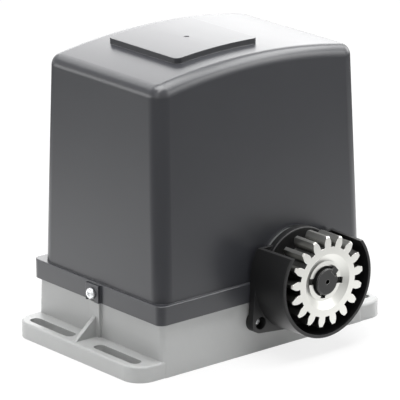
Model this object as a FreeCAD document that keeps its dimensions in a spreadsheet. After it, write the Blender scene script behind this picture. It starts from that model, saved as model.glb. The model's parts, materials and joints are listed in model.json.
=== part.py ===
"""Drive unit for a sliding gate: an upright motor on a worm gearbox in a cast base, under a
lift-off hood, with a rack pinion on the cross shaft.

Frame: the origin is the centre of the base on the ground, +X runs along the gate, the pinion
looks along -Y and +Z is up. All sizes are in millimetres and degrees.
"""

import FreeCAD, Part
import math
import os

import Sketcher

V = FreeCAD.Vector

# Driving dimensions. Each is one cell of the sheet, with its name as the alias.
SIZES = {
    # base casting
    "base_length": 264.0,
    "base_width": 162.5,
    "base_corner": 16.6,
    "flange_thick": 13.7,
    "flange_edge": 2.0,
    "housing_length": 213.0,
    "housing_corner": 4.5,
    "housing_taper": 1.6,
    "rim_height": 56.0,
    "base_wall": 4.5,
    "base_floor": 6.0,
    "slot_width": 10.0,
    "slot_length": 54.8,
    "slot_inset": 11.05,
    "slot_spacing": 84.6,
    "rib_height": 18.5,
    "rib_thick": 3.8,
    "rib_margin": 3.7,
    "rib_shift": 3.6,
    "screw_pad_proud": 1.6,
    "conduit_radius": 16.0,
    "conduit_x": -80.0,
    # hood
    "hood_length": 213.6,
    "hood_width": 154.7,
    "hood_corner": 12.0,
    "hood_top_length": 205.7,
    "hood_top_width": 142.5,
    "hood_edge_height": 234.2,
    "hood_rise": 10.0,
    "hood_round": 10.0,
    "hood_wall": 2.8,
    "hood_shift": 2.7,
    "band_end_gap": 1.7,
    "band_side_gap": 0.4,
    "band_corner": 6.5,
    "band_low": 44.5,
    "band_high": 60.5,
    "band_wall": 2.6,
    "band_edge": 0.8,
    "ledge_thick": 2.5,
    "plate_length": 84.0,
    "plate_width": 88.0,
    "plate_corner": 5.0,
    "plate_thick": 4.7,
    "plate_x": -17.0,
    "gate_mark_y": -4.9,
    "gate_mark_radius": 2.2,
    "tab_width": 16.4,
    "tab_proud": 2.5,
    "tab_y": 1.4,
    "tab_drop": 1.2,
    "tab_slot_width": 9.5,
    "tab_screw_height": 51.6,
    "tab_head_radius": 4.8,
    "tab_head_height": 3.2,
    "seal_thick": 1.7,
    "seal_width": 3.0,
    # pinion and guard
    "gear_x": 30.0,
    "gear_height": 61.5,
    "gear_module": 4.0,
    "pinion_teeth": 17,
    "pressure_angle": 20.0,
    "pinion_width": 23.8,
    "pinion_reach": 123.0,
    "pinion_turn": 15.5,
    "pinion_hub_radius": 17.0,
    "recess_radius": 23.2,
    "recess_floor_radius": 16.5,
    "recess_depth": 3.4,
    "tooth_chamfer": 0.9,
    "dog_width": 5.2,
    "dog_reach": 18.2,
    "dog_depth": 3.0,
    "dog_angle": -8.8,
    "notch_width": 4.8,
    "notch_reach": 14.3,
    "key_angle": 42.0,
    "key_width": 6.0,
    "key_length": 20.0,
    "shaft_chamfer": 0.8,
    "guard_front_radius": 46.7,
    "guard_back_radius": 47.8,
    "guard_wall": 2.8,
    "guard_open_height": 27.0,
    "guard_edge": 0.8,
    "cup_radius": 37.6,
    "cup_reach": 90.0,
    "cup_wall": 1.8,
    "cup_edge": 1.2,
    "cup_hole": 18.5,
    "ear_distance": 53.8,
    "ear_angle": 39.5,
    "ear_radius": 8.5,
    "ear_length": 12.0,
    "ear_head_radius": 3.5,
    # shaft line
    "seat_radius": 11.0,
    "journal_radius": 12.5,
    "rear_journal_radius": 10.0,
    "collar_radius": 15.5,
    "front_bearing_radius": 26.0,
    "front_bearing_width": 15.0,
    "rear_bearing_radius": 21.0,
    "rear_bearing_width": 12.0,
    "shaft_seal_width": 7.0,
    # gearbox
    "nose_chamfer": 1.0,
    "centre_distance": 47.0,
    "worm_module": 2.6,
    "wheel_teeth": 30,
    "wheel_width": 18.0,
    "wheel_rim": 7.0,
    "worm_y": -20.0,
    "worm_length": 48.0,
    "chamber_gap": 2.0,
    "case_wall": 6.9,
    "case_front": 38.0,
    "tube_radius": 19.5,
    "foot_height": 6.0,
    "foot_thick": 8.0,
    "foot_left": -56.0,
    "foot_right": 88.0,
    "foot_front": -42.0,
    "foot_back": -0.5,
    "deck_thick": 7.6,
    "deck_left": -65.0,
    "deck_right": 95.0,
    "deck_front": -66.0,
    "deck_back": 22.0,
    "lid_thick": 6.0,
    "lid_boss_wall": 6.0,
    "lid_screw_inset": 3.5,
    "lid_screw_depth": 9.0,
    # motor
    "motor_shaft_radius": 7.5,
    "worm_bearing_radius": 16.0,
    "worm_bearing_width": 9.0,
    "worm_bearing_low": 24.0,
    "motor_side": 90.0,
    "motor_corner": 16.0,
    "shield_height": 12.0,
    "shield_wall": 3.0,
    "stator_height": 46.0,
    "rotor_radius": 25.6,
    "air_gap": 0.5,
    "winding_inner": 28.0,
    "winding_outer": 40.0,
    "winding_height": 7.0,
    "motor_bearing_radius": 17.5,
    "motor_bearing_width": 11.0,
    "motor_bolt_offset": 37.0,
    "fan_radius": 38.0,
    "fan_height": 10.0,
    "fan_blades": 9,
    # electrics
    "bracket_y": 34.0,
    "bracket_width": 160.0,
    "bracket_height": 205.0,
    "bracket_foot": 22.0,
    "sheet_thick": 2.0,
    "board_width": 144.0,
    "board_height": 96.0,
    "board_low": 104.0,
    "board_thick": 1.6,
    "board_gap": 5.0,
    "board_hole_inset": 5.0,
    "relay_count": 3,
    "relay_size": 18.0,
    "terminal_ways": 6,
    "terminal_pitch": 10.0,
    "fuse_x": 45.0,
    "fuse_length": 22.0,
    "transformer_x": 69.0,
    "transformer_y": -34.0,
    "transformer_length": 50.0,
    "transformer_height": 42.0,
    "transformer_stack": 24.0,
    "capacitor_x": 70.0,
    "capacitor_y": 5.0,
    "capacitor_radius": 17.0,
    "capacitor_height": 72.0,
    "sensor_length": 30.0,
    "sensor_x": 60.0,
    # release
    "release_x": 30.0,
    "release_height": 30.0,
    "release_shaft_radius": 5.0,
    "barrel_radius": 9.0,
    "lever_length": 32.0,
    "lever_thick": 5.0,
    # shared
    "part_gap": 0.35,
    "fit_gap": 0.03,
    "screw_radius": 2.0,
    "bolt_radius": 3.0,
}

doc = FreeCAD.newDocument("gate_drive")
sheet = doc.addObject("Spreadsheet::Sheet", "Sizes")
for row, (alias, number) in enumerate(SIZES.items(), 1):
    sheet.set("A%d" % row, alias)
    sheet.set("B%d" % row, str(number))
    sheet.setAlias("B%d" % row, alias)
doc.recompute()


class Size:
    """A number with the expression that ties it to the sheet."""

    def __init__(self, value, text):
        self.value = float(value)
        self.text = text

    def __add__(self, other):
        return joined(self, "+", other)

    def __radd__(self, other):
        return joined(other, "+", self)

    def __sub__(self, other):
        return joined(self, "-", other)

    def __rsub__(self, other):
        return joined(other, "-", self)

    def __mul__(self, other):
        return joined(self, "*", other)

    def __rmul__(self, other):
        return joined(other, "*", self)

    def __truediv__(self, other):
        return joined(self, "/", other)

    def __rtruediv__(self, other):
        return joined(other, "/", self)

    def __neg__(self):
        return joined(0, "-", self)


def as_size(number):
    """A plain number as a Size, and a Size as it is."""
    if isinstance(number, Size):
        return number
    return Size(number, "(%r)" % float(number))


def joined(first, sign, second):
    """Two sizes joined by + - * or /."""
    first, second = as_size(first), as_size(second)
    a, b = first.value, second.value
    value = {"+": a + b, "-": a - b, "*": a * b, "/": a / b if b else 0.0}[sign]
    return Size(value, "(%s %s %s)" % (first.text, sign, second.text))


def cosine(angle):
    angle = as_size(angle)
    return Size(math.cos(math.radians(angle.value)), "cos(%s)" % angle.text)


def sine(angle):
    angle = as_size(angle)
    return Size(math.sin(math.radians(angle.value)), "sin(%s)" % angle.text)


def angle_of_cosine(ratio):
    """The angle, in degrees, whose cosine is the ratio."""
    ratio = as_size(ratio)
    return Size(math.degrees(math.acos(ratio.value)), "(acos(%s) / 1deg)" % ratio.text)


def root(number):
    number = as_size(number)
    return Size(math.sqrt(number.value), "sqrt(%s)" % number.text)


def involute(ratio):
    """Involute function, in degrees, of the angle whose cosine is the ratio."""
    angle = math.acos(ratio.value)
    text = "(tan(acos({0})) * 180 / pi - acos({0}) / 1deg)".format(ratio.text)
    return Size(math.degrees(math.tan(angle) - angle), text)


class Dimensions:
    """Gives each driving dimension as a Size."""

    def __getattr__(self, alias):
        return Size(SIZES[alias], "Sizes." + alias)


d = Dimensions()
pieces = []


def bind(obj, path, size):
    """Tie a property to the sheet."""
    obj.setExpression(path, as_size(size).text)


def piece(label, obj):
    """Name a finished sub-part, so that it is written out."""
    obj.Label = label
    pieces.append(obj)
    return obj


def move(obj, x=0, y=0, z=0):
    """Tie an object's place to the sheet."""
    for letter, size in (("x", x), ("y", y), ("z", z)):
        if isinstance(size, Size) or size:
            bind(obj, "Placement.Base." + letter, size)
    return obj


AXIS_TURNS = {
    "X": FreeCAD.Rotation(V(0, 1, 0), 90),
    "Y": FreeCAD.Rotation(V(1, 0, 0), -90),
    "Z": FreeCAD.Rotation(),
}


def cylinder(name, axis, radius, low, high, at):
    """A round bar along an axis, from low to high. at holds the other two coordinates."""
    bar = doc.addObject("Part::Cylinder", name)
    bind(bar, "Radius", radius)
    bind(bar, "Height", as_size(high) - low)
    bar.Placement.Rotation = AXIS_TURNS[axis]
    first, second = at
    places = {"X": (low, first, second), "Y": (first, low, second), "Z": (first, second, low)}
    return move(bar, *places[axis])


def box(name, x, y, z):
    """A block between pairs of coordinates."""
    block = doc.addObject("Part::Box", name)
    for side, (low, high) in (("Length", x), ("Width", y), ("Height", z)):
        bind(block, side, as_size(high) - low)
    return move(block, x[0], y[0], z[0])


def fuse(name, *objects):
    whole = doc.addObject("Part::MultiFuse", name)
    whole.Shapes = list(objects)
    return whole


def group(name, objects):
    """Like solids that share one node."""
    whole = doc.addObject("Part::Compound", name)
    whole.Links = list(objects)
    return whole


def cut(name, base, *tools):
    """The base less all the tools."""
    rest = doc.addObject("Part::Cut", name)
    rest.Base = base
    rest.Tool = tools[0] if len(tools) == 1 else group(name + "_tools", tools)
    return rest


def common(name, first, second):
    both = doc.addObject("Part::Common", name)
    both.Base, both.Tool = first, second
    return both


def sketch_in(body, name, role, offset=0, angle=0):
    """A sketch on one of the body's own planes, moved along its normal and turned in it."""
    plane = [f for f in body.Origin.OriginFeatures if f.Role == role][0]
    sketch = body.newObject("Sketcher::SketchObject", name)
    sketch.AttachmentSupport = (plane, [""])
    sketch.MapMode = "FlatFace"
    if isinstance(offset, Size) or offset:
        bind(sketch, "AttachmentOffset.Base.z", offset)
    if isinstance(angle, Size) or angle:
        bind(sketch, "AttachmentOffset.Rotation.Angle", angle)
    return sketch


def tie(sketch, kind, name, size, *where):
    """Add a dimension to a sketch and tie it to the sheet."""
    size = as_size(size)
    index = sketch.addConstraint(Sketcher.Constraint(kind, *where, size.value))
    sketch.renameConstraint(index, name)
    bind(sketch, "Constraints." + name, size)


def arc_between(start, end, radius):
    """The short arc from start to end, to the left for a radius over 0 and to the right below."""
    chord = end - start
    turn = 1 if radius > 0 else -1
    left = V(-chord.y, chord.x, 0).normalize() * turn
    rise = math.sqrt(max(radius * radius - chord.Length ** 2 / 4, 0))
    centre = (start + end) * 0.5 + left * rise
    first, last = (start, end) if turn > 0 else (end, start)
    angles = [math.atan2(p.y - centre.y, p.x - centre.x) for p in (first, last)]
    return Part.ArcOfCircle(Part.Circle(centre, V(0, 0, 1), abs(radius)), *angles)


def outline(sketch, corners):
    """A closed outline through (x, y) corners. A third value is the radius of the arc that
    leads to the corner, with its sign for the side to which it turns."""
    corners = [tuple(as_size(value) for value in corner) for corner in corners]
    count = len(corners)
    first = sketch.GeometryCount
    ends = []
    for i, corner in enumerate(corners):
        before = corners[i - 1]
        start = V(before[0].value, before[1].value, 0)
        end = V(corner[0].value, corner[1].value, 0)
        if len(corner) == 3:
            sketch.addGeometry(arc_between(start, end, corner[2].value), False)
            ends.append((1, 2) if corner[2].value > 0 else (2, 1))
        else:
            sketch.addGeometry(Part.LineSegment(start, end), False)
            ends.append((1, 2))
    for i, corner in enumerate(corners):
        after = (i + 1) % count
        sketch.addConstraint(
            Sketcher.Constraint("Coincident", first + i, ends[i][1], first + after, ends[after][0]))
        label = "%d_%d" % (first, i)
        tie(sketch, "DistanceX", "across_" + label, corner[0], -1, 1, first + i, ends[i][1])
        tie(sketch, "DistanceY", "along_" + label, corner[1], -1, 1, first + i, ends[i][1])
        if len(corner) == 3:
            radius = corner[2] if corner[2].value > 0 else -corner[2]
            tie(sketch, "Radius", "radius_" + label, radius, first + i)


def rounded_rectangle(sketch, length, width, radius, x=0, y=0):
    """A rectangle with round corners, about a centre."""
    right, left = x + length / 2, x - length / 2
    back, front = y + width / 2, y - width / 2
    outline(sketch, [
        (right - radius, front), (right, front + radius, radius),
        (right, back - radius), (right - radius, back, radius),
        (left + radius, back), (left, back - radius, radius),
        (left, front + radius), (left + radius, front, radius),
    ])


def rounded_block(name, length, width, radius, low, high, x=0, y=0):
    """An upright block with round corners."""
    body = doc.addObject("PartDesign::Body", name)
    sketch = sketch_in(body, name + "_outline", "XY_Plane", low)
    rounded_rectangle(sketch, length, width, radius, as_size(x), as_size(y))
    pad = body.newObject("PartDesign::Pad", name + "_pad")
    pad.Profile = sketch
    bind(pad, "Length", as_size(high) - low)
    return body


def tapered_block(name, foot, top, low, high, y=0):
    """An upright block between two rounded rectangles of (length, width, radius)."""
    body = doc.addObject("PartDesign::Body", name)
    sections = []
    for label, rectangle, height in (("foot", foot, low), ("top", top, high)):
        sketch = sketch_in(body, "%s_%s" % (name, label), "XY_Plane", height)
        rounded_rectangle(sketch, *rectangle, as_size(0), as_size(y))
        sections.append(sketch)
    loft = body.newObject("PartDesign::AdditiveLoft", name + "_loft")
    loft.Profile = sections[0]
    loft.Sections = sections[1:]
    loft.Ruled = True
    return body


def round_top_edges(body, radius):
    """Round the edges of an upright body's flat top."""
    doc.recompute()
    solid = body.Group[-1]
    high = solid.Shape.BoundBox.ZMax
    names = [
        "Edge%d" % (i + 1) for i, edge in enumerate(solid.Shape.Edges)
        if edge.BoundBox.ZMin > high - 0.01
    ]
    rounding = body.newObject("PartDesign::Fillet", body.Name + "_top_rounding")
    rounding.Base = (solid, names)
    bind(rounding, "Radius", radius)
    body.Tip = rounding


def turned(name, axis, corners, at):
    """A piece turned about an axis, from (radius, place on the axis) corners."""
    body = doc.addObject("PartDesign::Body", name)
    sketch = sketch_in(body, name + "_profile", "XZ_Plane" if axis == "Z" else "XY_Plane")
    if axis == "X":
        corners = [(place, radius) + tuple(rest) for radius, place, *rest in corners]
    outline(sketch, corners)
    turn = body.newObject("PartDesign::Revolution", name + "_turn")
    turn.Profile = sketch
    turn.ReferenceAxis = (sketch, ["H_Axis" if axis == "X" else "V_Axis"])
    turn.Angle = 360
    first, second = at
    places = {"X": (0, first, second), "Y": (first, 0, second), "Z": (first, second, 0)}
    return move(body, *places[axis])


def ring(name, axis, inner, outer, low, high, at):
    """A plain ring, as of a bearing."""
    return turned(name, axis, [(inner, low), (outer, low), (outer, high), (inner, high)], at)


def prism(name, role, corners, offset, length):
    """An outline on a body plane, drawn out along the plane's normal."""
    body = doc.addObject("PartDesign::Body", name)
    sketch = sketch_in(body, name + "_outline", role, offset)
    outline(sketch, corners)
    pad = body.newObject("PartDesign::Pad", name + "_pad")
    pad.Profile = sketch
    bind(pad, "Length", length)
    return body


def screw(name, axis, at, seat, tip, shank, head, head_height):
    """A screw with its head's underside at the seat and its end at the tip."""
    outward = 1 if as_size(seat).value > as_size(tip).value else -1
    crown = seat + head_height * outward
    edge = seat + head_height * outward * 0.45
    return turned(name, axis, [
        (0, tip), (shank, tip), (shank, seat), (head, seat), (head, edge),
        (head * 0.62, crown), (0, crown)], at)


# Derived places that several sub-parts share.
wheel_pitch = d.worm_module * d.wheel_teeth / 2
wheel_tip = wheel_pitch + d.worm_module
worm_tip = d.centre_distance - wheel_pitch + d.worm_module
chamber_radius = wheel_tip + d.chamber_gap
case_radius = chamber_radius + d.case_wall
worm_x = d.gear_x - d.centre_distance
worm_at = (worm_x, d.worm_y)
gear_at = (d.gear_x, d.gear_height)
foot_low = d.base_floor + d.foot_height
foot_high = foot_low + d.foot_thick
deck_low = d.gear_height + case_radius + d.part_gap
deck_high = deck_low + d.deck_thick
stator_low = deck_high + d.shield_height
stator_high = stator_low + d.stator_height
shield_high = stator_high + d.shield_height
wheel_front = d.worm_y - d.wheel_width / 2
wheel_back = d.worm_y + d.wheel_width / 2
nose_radius = d.cup_radius - d.cup_wall - d.part_gap
nose_front = d.cup_wall + d.part_gap - d.cup_reach
seal_back = nose_front + d.shaft_seal_width
bearing_back = seal_back + d.front_bearing_width
chamber_front = wheel_front - d.part_gap * 12
pinion_front = -d.pinion_reach
pinion_back = pinion_front + d.pinion_width
pinion_face = pinion_front + d.recess_depth


def wall_face(height):
    """Distance of the housing's front and back faces from the middle, at a height."""
    return d.base_width / 2 - d.housing_taper * height / d.rim_height


def wall_end(height):
    """Distance of the housing's end faces from the middle, at a height."""
    return d.housing_length / 2 - d.housing_taper * height / d.rim_height


band_length = (wall_end(d.band_low) + d.band_end_gap + d.band_wall) * 2
band_width = (wall_face(d.band_low) + d.band_side_gap + d.band_wall) * 2
tab_face = band_length / 2 + d.tab_proud
ledge_low = d.band_high - d.ledge_thick
tab_at = (d.tab_y, d.tab_screw_height)
release_at = (d.release_x, d.release_height)


def make_base():
    """Cast tray with a foot flange, slots, ribs and bosses."""
    # The flange is a touch narrower, so that its rounded edge dies in the housing's drafted sides.
    flange = rounded_block(
        "flange", d.base_length, wall_face(d.flange_thick) * 2 - d.part_gap, d.base_corner, 0,
        d.flange_thick)
    round_top_edges(flange, d.flange_edge)

    taper = d.housing_taper * 2
    outer = (d.housing_length, d.base_width, d.housing_corner)
    outer_top = (d.housing_length - taper, d.base_width - taper, d.housing_corner)
    housing = tapered_block("housing", outer, outer_top, 0, d.rim_height)
    wall = d.base_wall * 2
    inner = [
        (length - wall, width - wall, d.housing_corner) for length, width, _ in (outer, outer_top)
    ]
    tray = tapered_block("tray", *inner, d.base_floor, d.rim_height + d.part_gap)

    end_wall = d.housing_length / 2
    boss_reach = 9.0
    solids, tools, bosses = [flange, housing], [tray], []
    for side, name in ((-1, "left"), (1, "right")):
        foot_end = side * (d.base_length / 2 - d.rib_margin)
        wall_in = side * (end_wall - d.base_wall / 2)
        solids.append(prism(
            name + "_rib", "XZ_Plane",
            [(foot_end, d.flange_thick - d.flange_edge), (foot_end, d.flange_thick),
             (side * end_wall, d.flange_thick + d.rib_height),
             (wall_in, d.flange_thick + d.rib_height),
             (wall_in, d.flange_thick - d.flange_edge)],
            -d.rib_shift - d.rib_thick / 2, d.rib_thick))
        near, far = side * (end_wall - d.base_wall / 2), side * (end_wall + d.screw_pad_proud)
        low_x, high_x = (near, far) if side > 0 else (far, near)
        solids.append(box(
            name + "_screw_pad", (low_x, high_x),
            (d.tab_y - d.tab_width / 4, d.tab_y + d.tab_width / 2),
            (d.flange_thick / 2, d.band_low - d.tab_drop - d.part_gap)))
        boss_in, boss_out = side * (end_wall - d.base_wall - boss_reach), side * (end_wall - 2)
        low_x, high_x = (boss_in, boss_out) if side > 0 else (boss_out, boss_in)
        bosses.append(cylinder(
            name + "_screw_boss", "X", d.screw_radius * 2, low_x, high_x, tab_at))
        for end, label in ((-1, "front"), (1, "back")):
            slot_x = side * (d.base_length / 2 - d.slot_inset)
            tools.append(rounded_block(
                "%s_%s_slot" % (name, label), d.slot_width, d.slot_length,
                d.slot_width / 2 - 0.001, -1, d.flange_thick + 1, slot_x, end * d.slot_spacing / 2))
    tools.append(cylinder(
        "conduit_hole", "Z", d.conduit_radius, -1, d.base_floor + 1, (d.conduit_x, 0)))
    tools.append(cylinder(
        "nose_notch", "Y", nose_radius + d.part_gap, -d.base_width, -d.base_width / 4, gear_at))
    tools.append(cylinder(
        "barrel_hole", "Y", d.barrel_radius + d.fit_gap, d.base_width / 4, d.base_width, release_at))
    shell = cut("base_shell", fuse("base_solid", *solids), *tools)

    holes = []
    for i, (x, y) in enumerate(foot_bolt_places()):
        bosses.append(cylinder(
            "foot_boss_%d" % i, "Z", d.bolt_radius * 2.6, d.base_floor / 2, foot_low, (x, y)))
        holes.append(cylinder(
            "foot_hole_%d" % i, "Z", d.bolt_radius + d.fit_gap, 3, foot_low + 1, (x, y)))
    for side, (x, z) in enumerate(ear_places()):
        bosses.append(cylinder(
            "ear_boss_%d" % side, "Y", d.screw_radius * 2.8,
            1 - wall_face(z), d.base_wall + 8 - wall_face(z), (x, z)))
        holes.append(cylinder(
            "ear_hole_%d" % side, "Y", d.screw_radius + d.fit_gap,
            -d.base_width, d.base_wall + 6 - wall_face(z), (x, z)))
    for side, x in enumerate(bracket_screw_places()):
        holes.append(cylinder(
            "bracket_hole_%d" % side, "Z", d.screw_radius + d.fit_gap, 1.5, d.base_floor + 1,
            (x, d.bracket_y + d.bracket_foot * 0.6)))
    for side, name in ((-1, "left"), (1, "right")):
        inside = side * (end_wall - d.base_wall - boss_reach + 1)
        outside = side * (end_wall + 5)
        low_x, high_x = (inside, outside) if side > 0 else (outside, inside)
        holes.append(cylinder(
            name + "_screw_hole", "X", d.screw_radius + d.fit_gap, low_x, high_x, tab_at))
    piece("base_housing", cut("base", fuse("base_with_bosses", shell, *bosses), *holes))


def foot_bolt_places():
    inset = 8.0
    return [
        (x, y)
        for x in (d.foot_left + inset, d.foot_right - inset)
        for y in (d.foot_front + inset, d.foot_back - inset)
    ]


def ear_places():
    offset, drop = d.ear_distance * cosine(d.ear_angle), d.ear_distance * sine(d.ear_angle)
    return [(d.gear_x + side * offset, d.gear_height - drop) for side in (-1, 1)]


def bracket_screw_places():
    return [side * d.bracket_width * 0.35 for side in (-1, 1)]


def hood_form(name, inset, low):
    """Outer form of the hood, or its inside where it is set in by the wall."""
    crown = d.hood_edge_height + d.hood_rise - inset
    high = crown + 6
    # The sizes hold at the band and at the upper edge, so the ends carry the slope on from there.
    span = d.hood_edge_height - d.band_high
    length_fall = (d.hood_length - d.hood_top_length) / span
    width_fall = (d.hood_width - d.hood_top_width) / span
    below = d.band_high - low
    over = high - d.hood_edge_height
    corner = d.hood_corner - inset
    foot = (d.hood_length + length_fall * below - inset * 2,
            d.hood_width + width_fall * below - inset * 2, corner)
    top = (d.hood_top_length - length_fall * over - inset * 2,
           d.hood_top_width - width_fall * over - inset * 2, corner)
    body = tapered_block(name, foot, top, low, high, -d.hood_shift)
    half = d.hood_top_length / 2
    radius = (half * half + d.hood_rise * d.hood_rise) / (d.hood_rise * 2)
    reach = d.hood_length * 0.6
    above = crown + 12
    drop = radius - root(radius * radius - reach * reach)
    arch = sketch_in(body, name + "_arch", "XZ_Plane", -d.hood_width)
    outline(arch, [
        (reach, crown - drop, -radius), (reach, above), (-reach, above), (-reach, crown - drop)])
    arch_cut = body.newObject("PartDesign::Pocket", name + "_arch_cut")
    arch_cut.Profile = arch
    arch_cut.Type = 1
    arch_cut.Midplane = True
    body.Tip = arch_cut
    doc.recompute()
    top_face = max(arch_cut.Shape.Faces, key=lambda face: face.CenterOfMass.z)
    names = [
        "Edge%d" % (i + 1) for i, edge in enumerate(arch_cut.Shape.Edges)
        if any(edge.isSame(other) for other in top_face.Edges)
    ]
    rounding = body.newObject("PartDesign::Fillet", name + "_rounding")
    rounding.Base = (arch_cut, names)
    bind(rounding, "Radius", d.hood_round - inset)
    body.Tip = rounding
    return body, radius, crown


def make_hood():
    """Moulded hood: arched form, foot band with a ledge, raised plate and open screw slots."""
    outer, arch_radius, crown = hood_form("hood_outer", as_size(0), ledge_low)
    inner, _, _ = hood_form("hood_inner", d.hood_wall, ledge_low - 1)
    band = rounded_block(
        "band_outer", band_length, band_width, d.band_corner, d.band_low, d.band_high)
    round_top_edges(band, d.band_edge)
    wall = d.band_wall * 2
    band_inner = rounded_block(
        "band_inner", band_length - wall, band_width - wall, d.band_corner - d.band_wall,
        d.band_low - 1, ledge_low)
    arch_z = crown - arch_radius
    plate = common(
        "top_plate",
        rounded_block(
            "plate_outline", d.plate_length, d.plate_width, d.plate_corner,
            d.hood_edge_height - 8, crown + d.plate_thick * 3, d.plate_x),
        ring("plate_arch", "Y", arch_radius - d.hood_wall / 2, arch_radius + d.plate_thick,
             -d.plate_width, d.plate_width, (0, arch_z)))
    solids, tools = [outer, band, plate], [inner, band_inner]
    tools.append(cylinder(
        "gate_mark", "Z", d.gate_mark_radius, crown + d.plate_thick * 0.85,
        crown + d.plate_thick * 3, (d.plate_x, d.gate_mark_y)))
    half_slot = d.screw_radius + d.part_gap * 2
    for side, name in ((-1, "left"), (1, "right")):
        near, far = side * (band_length / 2 - d.band_wall / 2), side * tab_face
        low_x, high_x = (near, far) if side > 0 else (far, near)
        solids.append(box(
            name + "_tab", (low_x, high_x),
            (d.tab_y - d.tab_width / 2, d.tab_y + d.tab_width / 2),
            (d.band_low, d.band_high - d.tab_drop)))
        reach_in, reach_out = side * (band_length / 2 - d.band_wall - 1), side * (tab_face + 1)
        low_x, high_x = (reach_in, reach_out) if side > 0 else (reach_out, reach_in)
        tools.append(box(
            name + "_tab_slot", (low_x, high_x),
            (d.tab_y - half_slot, d.tab_y - half_slot + d.tab_slot_width),
            (d.band_low - 1, d.tab_screw_height - d.screw_radius)))
        tools.append(cylinder(name + "_tab_slot_end", "X", half_slot, low_x, high_x, tab_at))
    opening = nose_radius + d.part_gap * 3
    tools.append(cylinder(
        "nose_opening", "Y", opening, -band_width, -band_width / 4, gear_at))
    tools.append(box(
        "nose_opening_foot", (d.gear_x - opening, d.gear_x + opening),
        (-band_width, -band_width / 4), (d.band_low - 1, d.gear_height)))
    piece("cover", cut("hood", fuse("hood_solid", *solids), *tools))


def make_seal():
    """Rubber strip on the rim of the base."""
    length = wall_end(d.rim_height) * 2 - 1
    width = wall_face(d.rim_height) * 2 - 1
    high = d.rim_height + d.seal_thick
    outer = rounded_block(
        "seal_outer", length, width, d.housing_corner - 0.5, d.rim_height, high)
    inset = d.seal_width
    inner = rounded_block(
        "seal_inner", length - inset * 2, width - inset * 2, d.housing_corner - inset - 0.5,
        d.rim_height - 1, high + 1)
    gap = box(
        "seal_gap", (d.gear_x - nose_radius - 1, d.gear_x + nose_radius + 1),
        (-d.base_width, 0), (d.rim_height - 1, high + 1))
    piece("cover_seal", cut("seal", outer, inner, gap))


def make_fixings():
    """Screws that the outside shows."""
    tab_seat = tab_face + d.part_gap
    end = d.housing_length / 2 - d.base_wall - 6
    piece("cover_screws", group("cover_screw_pair", [
        screw("cover_screw_%d" % i, "X", tab_at, side * tab_seat, side * end, d.screw_radius,
              d.tab_head_radius, d.tab_head_height)
        for i, side in enumerate((-1, 1))]))


def make_guard():
    """Ring guard round the pinion, open above, with a cup over the gearbox nose and two ears
    screwed to the base."""
    back = -(band_width / 2 + d.part_gap)
    wall, edge = d.guard_wall, d.guard_edge
    hole = nose_radius + d.part_gap
    shell = turned("guard_shell", "Y", [
        (hole, back), (d.guard_back_radius, back), (d.guard_front_radius, pinion_front + edge),
        (d.guard_front_radius - edge, pinion_front, -edge),
        (d.guard_front_radius - wall, pinion_front), (d.guard_back_radius - wall, back - wall),
        (hole, back - wall)], gear_at)
    reach = d.guard_back_radius * 1.2
    opening = box(
        "guard_opening", (d.gear_x - reach, d.gear_x + reach), (-d.pinion_reach - 1, 0),
        (d.gear_height + d.guard_open_height, d.gear_height + reach))
    cup = turned("nose_cup", "Y", [
        (hole, back), (d.cup_radius, back), (d.cup_radius, d.cup_edge - d.cup_reach),
        (d.cup_radius - d.cup_edge, -d.cup_reach, -d.cup_edge), (d.cup_hole, -d.cup_reach),
        (d.cup_hole, d.cup_wall - d.cup_reach), (hole, d.cup_wall - d.cup_reach)], gear_at)
    front = back - d.ear_length / 2
    solids = [cut("guard_ring", shell, opening), cup]
    tools = [cylinder("nose_clearance", "Y", hole, -d.cup_reach, 0, gear_at)]
    for i, ((x, z), side) in enumerate(zip(ear_places(), (-1, 1))):
        ear_back = -wall_face(z - d.ear_radius)
        solids.append(cylinder("guard_ear_%d" % i, "Y", d.ear_radius, front, ear_back, (x, z)))
        solids.append(prism(
            "guard_ear_web_%d" % i, "XZ_Plane", ear_web(x, z, side), -back, back - front))
        tools.append(cylinder(
            "ear_clearance_%d" % i, "Y", d.screw_radius + d.fit_gap, -d.base_width, 0, (x, z)))
        tools.append(cylinder(
            "ear_recess_%d" % i, "Y", d.ear_radius * 0.62, -d.base_width, back + 1, (x, z)))
    ring_inside = turned("guard_inside", "Y", [
        (0, pinion_front - 1), (d.guard_front_radius - wall, pinion_front - 1),
        (d.guard_front_radius - wall, pinion_front), (d.guard_back_radius - wall, back - wall),
        (0, back - wall)], gear_at)
    ring = cut("guard_ears_cut", fuse("guard_solid", *solids), *tools)
    piece("pinion_guard", fuse("guard", cut("guard_open", ring, ring_inside), cup))
    piece("guard_screws", group("guard_screw_pair", [
        screw("guard_screw_%d" % i, "Y", at, back + 1, 12 - wall_face(at[1]) - d.base_wall,
              d.screw_radius, d.ear_head_radius, d.screw_radius * 1.4)
        for i, at in enumerate(ear_places())]))


def ear_web(x, z, side):
    """Outline between an ear and the ring, with straight flanks that touch both."""
    ring_radius = d.guard_front_radius
    spread = angle_of_cosine((ring_radius - d.ear_radius) / d.ear_distance)
    directions = [
        (side * cosine(d.ear_angle + turn), -sine(d.ear_angle + turn)) for turn in (-spread, spread)
    ]
    near_ring = [
        (d.gear_x + ring_radius * across, d.gear_height + ring_radius * up) for across, up in directions
    ]
    near_ear = [(x + d.ear_radius * across, z + d.ear_radius * up) for across, up in directions]
    return [near_ring[0], near_ear[0], near_ear[1], near_ring[1]]


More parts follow.
